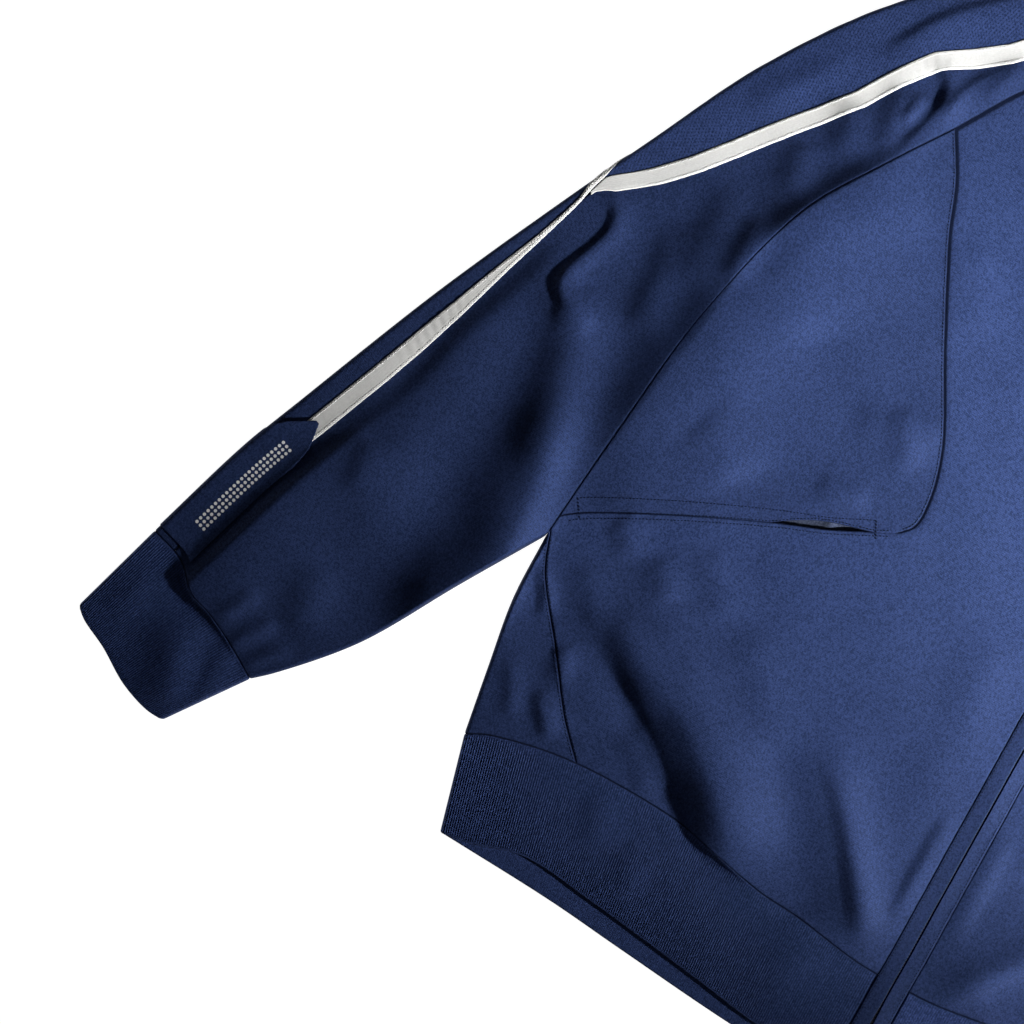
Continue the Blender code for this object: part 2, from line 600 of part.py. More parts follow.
SIDE_BACK_POINTS = at(SIDE_BACK_LINE, shares(0, 1, SIDE_CELLS))
SIDE_BACK_POINTS[-1] = RAGLAN_BEHIND[0]
HEM_AT_SIDE_SEAM = share_near(HEM_LINE, SIDE_SEAM_FRONT[0])
HEM_AT_BACK_SEAM = np.interp(SIDE_SEAM_BACK[0][0], HEM_LINE[1][:, 0], HEM_LINE[0])
SIDE_BACK_POINTS[0] = at(HEM_LINE, HEM_AT_BACK_SEAM)
HEM_AT_ZIP = np.interp(COVER_WIDTH, HEM_LINE[1][:, 0], HEM_LINE[0])
NECK_AT_ZIP = np.interp(COVER_WIDTH, NECK_FRONT_LINE[1][:, 0], NECK_FRONT_LINE[0])
NECK_POINTS = at(NECK_FRONT_LINE, shares(1, NECK_AT_ZIP, FRONT_TOP_CELLS))
NECK_BACK_POINTS = at(NECK_BACK_LINE, shares(1, 0, BACK_CELLS // 2))
CORNER_TO_ZIP = np.linspace(POCKET_POINTS[-1], (COVER_WIDTH, POCKET_LEVEL), FRONT_TOP_CELLS + 1)
HEM_POINTS = at(HEM_LINE, shares(HEM_AT_SIDE_SEAM, HEM_AT_ZIP, POCKET_CELLS + FRONT_TOP_CELLS))
HEM_BACK_POINTS = at(HEM_LINE, shares(HEM_AT_BACK_SEAM, 0, BACK_CELLS // 2))
ZIP_LOWER = np.linspace(HEM_POINTS[-1], CORNER_TO_ZIP[-1], ZIP_LOWER_CELLS + 1)
ZIP_UPPER = np.linspace(CORNER_TO_ZIP[-1], NECK_POINTS[-1], ZIP_UPPER_CELLS + 1)


def ring(side, plan, layer):
    """Points and normals where some columns are on the front and some on the back."""
    layer = np.broadcast_to(layer, plan.shape[:-1])
    points, normals = surface(side, plan, 1)
    points_back, normals_back = surface(side, plan, -1)
    front = (layer > 0)[..., None]
    return np.where(front, points, points_back), np.where(front, normals, normals_back)


# ---------------------------------------------------------------- plans of the pieces
def sleeve_front_plan():
    """Underarm fold to front tape seam, with the tape's edge as a column of its own."""
    inner_line = sleeve_plan(ALONG, DEPTHS[:, 1] + 6.5)[0]
    inner_line[0] = RAGLAN_NECK
    edge = np.stack([underarm_plan(ALONG, q, RAGLAN_LINE) for q in EDGE_STEPS], 1)
    bottom = np.vstack([edge[0, -1:], raglan_at(RAGLAN_LINE, [RAGLAN_START]), RAGLAN_CHEST, RAGLAN_UPPER[1:]])
    cuff_length = length_of(CUFF_LINE)
    last = 1 - np.linalg.norm(inner_line[-1] - CUFF_HIGH) / cuff_length
    top = at(CUFF_LINE, np.linspace(EDGE_STEPS[-1] / cuff_length, last, len(bottom)))
    top[-1] = inner_line[-1]
    main = fill(bottom, top, edge[:, -1], inner_line)
    tape = np.stack([sleeve_plan(ALONG, over)[0] for over in (DEPTHS[:, 1], FRONT_SEAM)], 1)
    return np.concatenate([edge[:, :2], main, tape], axis=1)


def sleeve_back_plan():
    """Back tape seam, over the top fold or already behind it, and down to the underarm."""
    over_fold = np.linspace(QUARTER, -QUARTER, 5)
    below_tape = DEPTHS[:, 2:3] - FOLD_COLUMN_PITCH * np.arange(1, 6)
    over = np.column_stack([BACK_SEAM, DEPTHS[:, 2], np.minimum(over_fold, below_tape)])
    upper, layer = sleeve_plan(ALONG[:, None], over)
    upper[0, -1] = BACK_NECK
    edge = np.stack([underarm_plan(ALONG, q, RAGLAN_BACK_LINE) for q in EDGE_STEPS[::-1]], 1)
    bottom = np.vstack([RAGLAN_BEHIND[::-1], edge[0, :1]])
    cuff_length = length_of(CUFF_LINE)
    first = 1 - np.linalg.norm(upper[-1, -1] - CUFF_HIGH) / cuff_length
    top = at(CUFF_LINE, np.linspace(first, EDGE_STEPS[-1] / cuff_length, len(bottom)))
    top[0] = upper[-1, -1]
    main = fill(bottom, top, upper[:, -1], edge[:, 0])
    plan = np.concatenate([upper[:, :-1], main, edge[:, 1:]], axis=1)
    layer = np.concatenate([layer[:, :-1], np.full((len(ALONG), main.shape[1] + 2), -1)], axis=1)
    return plan, layer


def saddle_plan():
    """Front tape seam to back tape seam over the shoulder's fold, narrowing to the elbow."""
    along = np.r_[ALONG[ALONG < SADDLE_END], SADDLE_TIP]
    depths = tape_depths(along)
    front_edge, back_edge = depths[:, 0], depths[:, 3]
    front_seam, back_seam = depths[:, :2].mean(1), depths[:, 2:].mean(1)
    natural = [front_seam, front_edge, (front_edge + QUARTER) / 2, QUARTER, QUARTER / 2, 0, -QUARTER / 2,
               -QUARTER, (back_edge - QUARTER) / 2, back_edge, back_seam]
    natural = np.stack([np.broadcast_to(column, front_seam.shape) for column in natural], 1)
    evenly = np.linspace(front_seam, back_seam, natural.shape[1], axis=1)
    wide = np.clip((front_edge - back_edge - 20) / 8, 0, 1)[:, None]
    return sleeve_plan(along[:, None], wide * natural + (1 - wide) * evenly)


def side_half_plan(seam, seam_on_hem, raglan):
    """From the side fold to one seam of the side panel, one row for each station up the side."""
    inner = at(SIDE, shares(0, 1, SIDE_CELLS))
    aim = seam - inner
    aim = aim / np.linalg.norm(aim, axis=1, keepdims=True)
    start = inner + aim * EDGE_STEPS[-1]
    start[0] = at(HEM_LINE, 1 - EDGE_STEPS[-1] / length_of(HEM_LINE))
    start[-1] = raglan_at(raglan, EDGE_STEPS[-1])
    near = np.stack([inner + aim * q for q in EDGE_STEPS[:2]], 1)
    near[0] = at(HEM_LINE, 1 - np.array(EDGE_STEPS[:2]) / length_of(HEM_LINE))
    near[-1] = raglan_at(raglan, EDGE_STEPS[:2])
    wide = np.linspace(start, seam, 4, axis=1)
    wide[0] = at(HEM_LINE, np.linspace(1 - EDGE_STEPS[-1] / length_of(HEM_LINE), seam_on_hem, 4))
    return np.concatenate([near, wide], axis=1)


def side_panel_plan():
    front = side_half_plan(SIDE_FRONT_POINTS, HEM_AT_SIDE_SEAM, RAGLAN_LINE)[:, ::-1]
    back = side_half_plan(SIDE_BACK_POINTS, HEM_AT_BACK_SEAM, RAGLAN_BACK_LINE)
    layer = np.r_[np.ones(front.shape[1]), -np.ones(back.shape[1] - 1)]
    return np.concatenate([front, back[:, 1:]], axis=1), np.broadcast_to(layer, (len(front), len(layer)))


def band_plan(columns, first_share, front_edge, back_edge, layer, rows, zip_column=True):
    """A band between a seam, given by its columns, and its free edge."""
    front = layer > 0
    chord = np.r_[0, np.cumsum(np.linalg.norm(np.diff(columns, axis=0), axis=1))]
    turn = np.flatnonzero(front)[-1]
    share = np.where(np.arange(len(columns)) <= turn,
                     first_share + (1 - first_share) * chord / chord[turn],
                     1 - (chord - chord[turn]) / (chord[-1] - chord[turn]))
    free = np.where(front[:, None], at(front_edge, share), at(back_edge, share))
    if zip_column:
        free[0, 0] = columns[0, 0]
    return np.linspace(columns, free, rows + 1, axis=0), np.broadcast_to(layer, (rows + 1, len(layer)))


def rib_plan():
    """Hem band of one half, from the zip round the side fold to the middle of the back."""
    side_row, side_layer = side_panel_plan()
    columns = np.vstack([HEM_POINTS[::-1], side_row[0, 1:], HEM_BACK_POINTS[1:]])
    layer = np.r_[np.ones(len(HEM_POINTS)), side_layer[0, 1:], -np.ones(len(HEM_BACK_POINTS) - 1)]
    return band_plan(columns, HEM_AT_ZIP, HEM_FRONT_EDGE_LINE, HEM_BACK_EDGE_LINE, layer, RIB_ROWS)


def collar_plan():
    """Collar of one half, from the zip round the side of the neck to the middle of the back."""
    front_row = sleeve_front_plan()[0, -3:]
    saddle_row, saddle_layer = (grid[0] for grid in saddle_plan())
    back_row, back_layer = (grid[0, :7] for grid in sleeve_back_plan())
    sleeve = np.vstack([front_row[1:], saddle_row[1:], back_row[1:]])
    columns = np.vstack([NECK_POINTS[::-1], sleeve, NECK_BACK_POINTS[1:]])
    layer = np.r_[np.ones(len(NECK_POINTS) + 2), saddle_layer[1:], back_layer[1:],
                  -np.ones(len(NECK_BACK_POINTS) - 1)]
    return band_plan(columns, NECK_AT_ZIP, COLLAR_FRONT_LINE, COLLAR_BACK_LINE, layer, COLLAR_ROWS)


def cuff_plan():
    """Cuff all round: up the front, over the upper fold and back down behind."""
    front_row = sleeve_front_plan()[-1]
    back_row, back_layer = (grid[-1] for grid in sleeve_back_plan())
    columns = np.vstack([front_row, back_row[1:]])
    layer = np.r_[np.ones(len(front_row)), back_layer[1:]]
    return band_plan(columns, 0.0, CUFF_END_LINE, CUFF_END_LINE, layer, CUFF_ROWS, zip_column=False)


# ---------------------------------------------------------------- pieces
def cloth(name, side, plan, layer, finish, thickness=CLOTH, trim=SEAM_GAP / 2):
    return wall(name, [ring(side, plan, layer)], finish, -thickness, 0, trim)


def make_front(name, side, finish):
    left = np.vstack([SIDE_FRONT_POINTS, RAGLAN_CHEST[:1]])
    lower = fill(HEM_POINTS, np.vstack([POCKET_POINTS, CORNER_TO_ZIP[1:]]), left, ZIP_LOWER)
    left = np.vstack([YOKE_POINTS, RAGLAN_UPPER[1:]])
    upper = fill(CORNER_TO_ZIP, NECK_POINTS, left, ZIP_UPPER)
    return wall(name, [surface(side, plan, 1) for plan in (lower, upper)], finish, -CLOTH, 0)


def make_chest(name, side, finish):
    bottom = POCKET_POINTS.copy()
    share = shares(0, 1, POCKET_CELLS)
    lens = np.sin(math.pi * np.clip((share - MOUTH_START) / (MOUTH_END - MOUTH_START), 0, 1))
    bottom -= normal_left(POCKET_LINE, share) * MOUTH_OPEN * lens[:, None]
    plan = fill(bottom, RAGLAN_CHEST[YOKE_CELLS:][:POCKET_CELLS + 1],
                RAGLAN_CHEST[:YOKE_CELLS + 1], YOKE_POINTS)
    return wall(name, [surface(side, plan, 1)], finish, -CLOTH, 0)


def make_back(name, finish):
    left = np.vstack([SIDE_BACK_POINTS, RAGLAN_BEHIND[1:]])
    middle = np.linspace(HEM_BACK_POINTS[-1], NECK_BACK_POINTS[-1], len(left))
    plan = fill(HEM_BACK_POINTS, NECK_BACK_POINTS, left, middle)
    return wall(name, [surface(side, plan, -1) for side in (-1, 1)], finish, -CLOTH, 0)


def make_band(name, plan_and_layer, finish):
    return wall(name, [ring(side, *plan_and_layer) for side in (-1, 1)], finish, -RIB, 0, RIB_TRIM)


def make_tape_front(name, side, finish):
    along = np.r_[ALONG[ALONG < SADDLE_END], FRONT_TAPE_END]
    depths = tape_depths(along)
    upper = np.maximum(depths[:, 0], depths[:, 3] + TAPE_APART)
    plan, layer = sleeve_plan(along[:, None], np.linspace(depths[:, 1], upper, 3, axis=1))
    return wall(name, [ring(side, plan, layer)], finish, LIFT, LIFT + TAPE)


def make_tape_back(name, side, finish):
    along = np.r_[ALONG[ALONG < TAPE_END], TAPE_END]
    depths = tape_depths(along)
    plan, layer = sleeve_plan(along[:, None], np.linspace(depths[:, 3], depths[:, 2], 5, axis=1))
    points, normals = ring(side, plan, layer)
    pucker = TAPE_PUCKER * np.exp(-((along - TAPE_TURN) / 0.05)**2)
    return wall(name, [(points + normals * pucker[:, None, None], normals)], finish, LIFT, LIFT + TAPE)


def make_patch(name, side, finish):
    table = np.array(PATCH_ROWS)
    along, low, high = table[:, 0], table[:, 1], table[:, 2]
    depths = tape_depths(along)
    columns = [0 * low, QUARTER / 2 + 0 * low, QUARTER + 0 * low, depths[:, 2], depths[:, 2:].mean(1),
               depths[:, 3], high]
    over = np.clip(np.stack(columns, 1), low[:, None], high[:, None])
    plan, layer = sleeve_plan(along[:, None], over)
    points, normals = ring(side, plan, layer)
    return wall(name, [(points + normals * table[:, 3][:, None, None], normals)], finish, 0, TAPE)


def make_cover(name, side, finish):
    rib = rib_plan()[0][::-1, 0]
    collar = collar_plan()[0][:COLLAR_ROWS, 0]
    edge = np.vstack([rib, ZIP_LOWER[1:], ZIP_UPPER[1:], collar[1:]])
    hem_share = np.clip((60 - edge[:, 1]) / 120, 0, 1)
    parting = COVER_PARTING + (COVER_PARTING_AT_HEM - COVER_PARTING) * hem_share
    middle = np.stack([parting, edge[:, 1]], -1)
    plan = np.linspace(middle, edge, 3, axis=1)
    return wall(name, [surface(side, plan, 1)], finish, COVER_RAISED - COVER, COVER_RAISED)


def make_facing(name, side, finish):
    share = shares(FACING_START, FACING_END, 6)
    across = np.linspace(-FACING_ABOVE, FACING_BELOW, 4)
    line = at(POCKET_LINE, share)[:, None]
    plan = line + normal_left(POCKET_LINE, share)[:, None] * across[None, :, None]
    return wall(name, [surface(side, plan, 1)], finish, -FACING_DEPTH - FACING, -FACING_DEPTH)


def make_slider(name, finish):
    half = SLIDER_WIDTH / 2
    y0, y1 = SLIDER_Y - SLIDER_LENGTH / 2, SLIDER_Y + SLIDER_LENGTH / 2
    slider = box(name, finish, (-half, y0, SLIDER_LOW), (half, y1, SLIDER_HIGH))
    for sign in (-1, 1):
        cheek = box(name + "_cheek", finish,
                    (sign * CHEEK_PLACE - CHEEK_HALF, PIN_Y - CHEEK_REACH, SLIDER_HIGH - 1),
                    (sign * CHEEK_PLACE + CHEEK_HALF, PIN_Y + CHEEK_REACH, PIN_Z + CHEEK_CAP))
        combine(slider, cheek, "UNION")
    pin = rod(name + "_pin", finish, (0, PIN_Y, PIN_Z), PIN_RADIUS, 2 * CHEEK_PLACE)
    combine(slider, pin, "UNION")
    return slider


def make_tab(name, finish):
    """Flat tab that hangs down the zip from its pin; its origin is the pin's axis."""
    half_eye, half_neck, half_tab = EYE_LENGTH / 2, EYE_LENGTH / 2 - 0.2, TAB_WIDTH / 2
    thin, thick = TAB_THICK / 2, TAB_THICK / 2 + 0.1
    tab = rod(name, finish, (0, 0, 0), EYE_RADIUS, 2 * half_eye)
    neck = box(name + "_neck", finish, (-half_neck, -TAB_NECK, -thin), (half_neck, 0, thin))
    grip = box(name + "_grip", finish, (-half_tab, -TAB_LENGTH, -thick), (half_tab, 1 - TAB_NECK, thick))
    hole = rod(name + "_hole", finish, (0, 0, 0), EYE_HOLE, EYE_LENGTH + 2)
    for other, operation in ((neck, "UNION"), (grip, "UNION"), (hole, "DIFFERENCE")):
        combine(tab, other, operation)
    for made in (tab, neck, grip, hole):
        made.location = (0, PIN_Y * MM, PIN_Z * MM)
    return tab


def collection(name):
    made = bpy.data.collections.new(name)
    bpy.context.scene.collection.children.link(made)
    return made


for old in list(bpy.data.objects):
    bpy.data.objects.remove(old)
JACKET = collection("track_jacket")
HELPERS = collection("helpers")
HELPERS.hide_render = True

navy = material("navy_polyester", NAVY, 0.55)
mesh_knit = material("navy_mesh", NAVY, 0.7)
rib_knit = material("navy_rib", DARK_NAVY, 0.8)
white_tape = material("white_tape", WHITE, 0.6)
lining = material("pocket_lining", BLACK, 0.8)
coil = material("zip_coil", BLACK, 0.5)
metal = material("dark_metal", STEEL, 0.35, 1.0)

for side, letter in ((-1, "r"), (1, "l")):
    cloth("side_panel_" + letter, side, *side_panel_plan(), navy)
    make_front("front_" + letter, side, navy)
    make_chest("chest_" + letter, side, navy)
    cloth("sleeve_front_" + letter, side, sleeve_front_plan(), 1, navy)
    cloth("sleeve_back_" + letter, side, *sleeve_back_plan(), navy)
    cloth("saddle_" + letter, side, *saddle_plan(), mesh_knit, trim=SADDLE_TRIM)
    cloth("cuff_" + letter, side, *cuff_plan(), rib_knit, RIB)
    make_tape_front("tape_front_" + letter, side, white_tape)
    make_tape_back("tape_back_" + letter, side, white_tape)
    make_patch("sleeve_patch_" + letter, side, navy)
    make_cover("zip_cover_" + letter, side, navy)
    make_facing("pocket_facing_" + letter, side, lining)
make_back("back", navy)
make_band("hem_rib", rib_plan(), rib_knit)
make_band("collar", collar_plan(), rib_knit)
zip_top = SLIDER_Y - SLIDER_LENGTH / 2 - SEAM_GAP
box("zip_tape", coil, (-ZIP_HALF_WIDTH, ZIP_FOOT, ZIP_LOW), (ZIP_HALF_WIDTH, zip_top, ZIP_HIGH))
make_slider("zip_slider", metal)
make_tab("pull_tab", metal)

# The origin goes under the middle of the garment's outline
outline = np.vstack([CUFF_END_LINE[1], COLLAR_FRONT_LINE[1], COLLAR_BACK_LINE[1], HEM_BACK_EDGE_LINE[1]])
middle = (outline[:, 1].min() + outline[:, 1].max()) / 2
for made in list(JACKET.objects) + list(HELPERS.objects):
    made.location.y -= middle * MM
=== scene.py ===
import functools
import math

import bpy
import numpy as np
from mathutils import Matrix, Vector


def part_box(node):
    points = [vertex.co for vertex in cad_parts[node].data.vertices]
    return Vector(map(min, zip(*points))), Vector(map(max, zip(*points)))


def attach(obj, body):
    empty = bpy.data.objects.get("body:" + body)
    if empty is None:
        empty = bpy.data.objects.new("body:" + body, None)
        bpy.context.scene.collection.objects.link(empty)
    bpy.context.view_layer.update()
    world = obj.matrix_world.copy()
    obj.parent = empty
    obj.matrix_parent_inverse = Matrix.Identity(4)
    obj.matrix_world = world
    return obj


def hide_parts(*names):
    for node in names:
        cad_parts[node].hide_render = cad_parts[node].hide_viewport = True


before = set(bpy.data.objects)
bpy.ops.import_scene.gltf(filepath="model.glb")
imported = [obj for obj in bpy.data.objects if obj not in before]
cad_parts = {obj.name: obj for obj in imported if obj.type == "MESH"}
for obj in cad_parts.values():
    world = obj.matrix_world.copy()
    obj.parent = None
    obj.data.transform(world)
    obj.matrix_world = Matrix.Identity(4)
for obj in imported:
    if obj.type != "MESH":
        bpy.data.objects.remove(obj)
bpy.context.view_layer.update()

# Track jacket laid flat with its front up. Lengths are in millimetres until a mesh is made.
# A place on the cloth is (out, up): out from the zip line, and up from where the hem seam
# meets the zip. The wearer's right side has negative x and the left side positive x.
mm = 0.001
coarse = 1.0

cloth = {
    "wall": 1.2, "ribWall": 2.0, "tapeWall": 0.55, "coverWall": 1.6,
    "seamGap": 0.06, "seamRoll": 0.75,
    "lift": 0.05,             # clearance under what is sewn on top
    "foldRadius": 2.5,        # plan radius of the folded edges
    "foldMiddle": 2.5,        # height of the outline over the floor
}
laid = {"height": 4.6, "loft": 1.0, "loftReach": 26.0, "unevenReach": 12.0, "sag": 0.2,
        "softness": 0.7}
# painted shade on steep edges: faces whose normal's upward share is under steep darken, up to share
# of the seam shade
edgeShade = {"steep": 0.7, "share": 0.30}
besideSeam = np.array([0.35, 0.8, 1.5, 2.6])       # extra rows of a grid, this far from a seam

# Steps of the grids: finer on the right side, which is seen from near
pitch = {
    -1: {"panel": 2.15, "saddle": 2.4, "strip": 1.6, "cover": 2.0},
    1: {"panel": 3.8, "saddle": 3.6, "strip": 3.0, "cover": 3.0},
    "under": 6.0,
}
zipLine = {"coverWidth": 10.5, "coverRaised": 0.3, "ridge": 0.9, "parting": 0.2,
           "partingAtHem": 1.7, "openFrom": -12.0, "openOver": 45.0}
sleeve = {"neckEnd": 0.06, "cuffStart": 0.96, "turnEnd": 0.15, "width": 150.0}

# Outline and seams of one half, (out, up)
tip = (311, 133)
sideNeck, raglanNeck, backNeck = (95, 650), (84, 620), (66, 641)
cuffLow, cuffHigh = (424, -28), (517, 22)
seams = {
    "top": [sideNeck, (180, 598), (277, 520), (333, 445), (372, 369), (402, 308), (438, 231),
            (479, 132), (495, 92), cuffHigh],
    "under": [tip, (342, 82), (377, 23), (412, -17), cuffLow],
    "side": [(296, 6), (303, 47), (310, 91), tip],
    "ribSide": [(280, -53), (296, 6)],
    "cuffUpper": [cuffHigh, (535, -39)],
    "cuffLower": [(458, -75), cuffLow],
    "collarSide": [(88, 712), sideNeck],
    "raglan": [tip, (305, 202), (294, 292), (272, 375), (242, 425), (216, 464), (190, 505),
               (140, 562), raglanNeck],
    "raglanBack": [tip, (303, 202), (286, 292), (256, 380), (196, 478), (116, 577), backNeck],
    "cuff": [cuffLow, (443, -16), (464, -5), (478, 0), (494, 14), cuffHigh],
    "cuffEnd": [(458, -75), (470, -74), (489, -67), (510, -54), (528, -45), (535, -39)],
    "hem": [(0, 0), (27, 1), (68, 7), (95, 9), (130, 16), (158, 22), (207, 24), (229, 23),
            (252, 20), (284, 12), (296, 6)],
    "hemFrontEdge": [(0, -62), (60, -61), (96, -56), (140, -50), (181, -45), (229, -41),
                     (262, -50), (280, -53)],
    "hemBackEdge": [(0, -72), (73, -69), (151, -62), (203, -57), (280, -53)],
    "sideFront": [(229, 23), (248, 43), (274, 78), (301, 114), (310.5, 138)],
    "sideBack": [(238, 22), (256, 46), (281, 80), (304, 116), (310.5, 138)],
    "pocket": [(308, 146), (299, 153), (278, 165), (249, 180), (220, 194), (191, 207),
               (166, 217), (144, 228), (130, 235)],
    "yoke": [(130, 235), (121.5, 245), (121, 262), (129, 292), (159, 349), (188, 406),
             (200, 436), (216, 464)],
    "neckFront": [(0, 572), (40, 585), raglanNeck],
    "neckBack": [(0, 632), (36, 634), backNeck],
    "collarFrontEdge": [(0, 640), (40, 652), (72, 686), (88, 712)],
    "collarBackEdge": [(0, 702), (44, 705), (88, 712)],
}

# The two tapes over the cloth from the sleeve's top fold, plus on the front and minus behind:
# along, front tape's outer and inner edge, back tape's outer and inner edge
tapeRows = np.array([
    (0.000, 13.5, 26.0, -24.0, -11.5),
    (0.060, 23.5, 35.5, -36.0, -23.5),
    (0.120, 32.5, 44.5, -43.0, -30.5),
    (0.220, 42.0, 54.2, -49.0, -36.5),
    (0.248, 40.9, 53.2, -49.2, -36.7),
    (0.282, 37.4, 49.3, -49.0, -36.5),
    (0.318, 39.4, 50.8, -47.0, -34.5),
    (0.357, 41.8, 53.0, -44.0, -31.5),
    (0.392, 39.4, 50.6, -39.0, -26.5),
    (0.430, 35.0, 46.4, -33.5, -21.0),
    (0.465, 29.9, 41.2, -27.0, -14.5),
    (0.497, 23.8, 35.2, -20.5, -8.0),
    (0.527, 16.1, 27.6, -13.0, -2.0),
    (0.540, 12.0, 23.0, -9.0, 0.5),
    (0.552, 7.4, 18.5, -4.0, 2.8),
    (0.560, 5.0, 15.6, 0.0, 4.4),
    (0.566, 5.0, 11.6, 1.2, 5.0),
    (0.573, 5.8, 8.8, 2.3, 5.8),
    (0.586, 6.0, 8.3, 6.0, 8.3),
    (0.600, 7.6, 10.2, 7.6, 10.2),
    (0.628, 9.8, 13.3, 9.8, 13.3),
    (0.668, 11.1, 17.4, 11.1, 17.4),
    (0.710, 12.8, 21.9, 12.8, 21.9),
    (0.750, 13.5, 24.4, 13.5, 24.4),
    (0.790, 13.9, 25.5, 13.9, 25.5),
    (0.850, 14.0, 25.8, 14.0, 25.8),
    (1.000, 12.6, 24.6, 12.6, 24.6),
])
tape = {"width": 12.5, "saddleTip": 0.574, "frontEnd": 0.577, "apart": 0.4, "backEnd": 0.871,
        "pucker": 0.32, "roll": 0.35}
tapeRise = {"end": 0.55, "height": 1.35, "full": 9.6, "none": 25.6}

# The sleeve patch: place along, the depths of its two edges, and its clearance
patchRows = np.array([
    (0.850, 17.5, 20.0, 1.65),
    (0.868, 6.5, 28.5, 1.65),
    (0.877, 3.4, 30.0, 1.50),
    (0.886, 0.6, 31.0, 1.10),
    (0.900, 0.0, 31.0, 0.60),
    (0.920, 0.0, 31.0, 0.45),
    (0.994, 0.0, 31.0, 0.45),
])

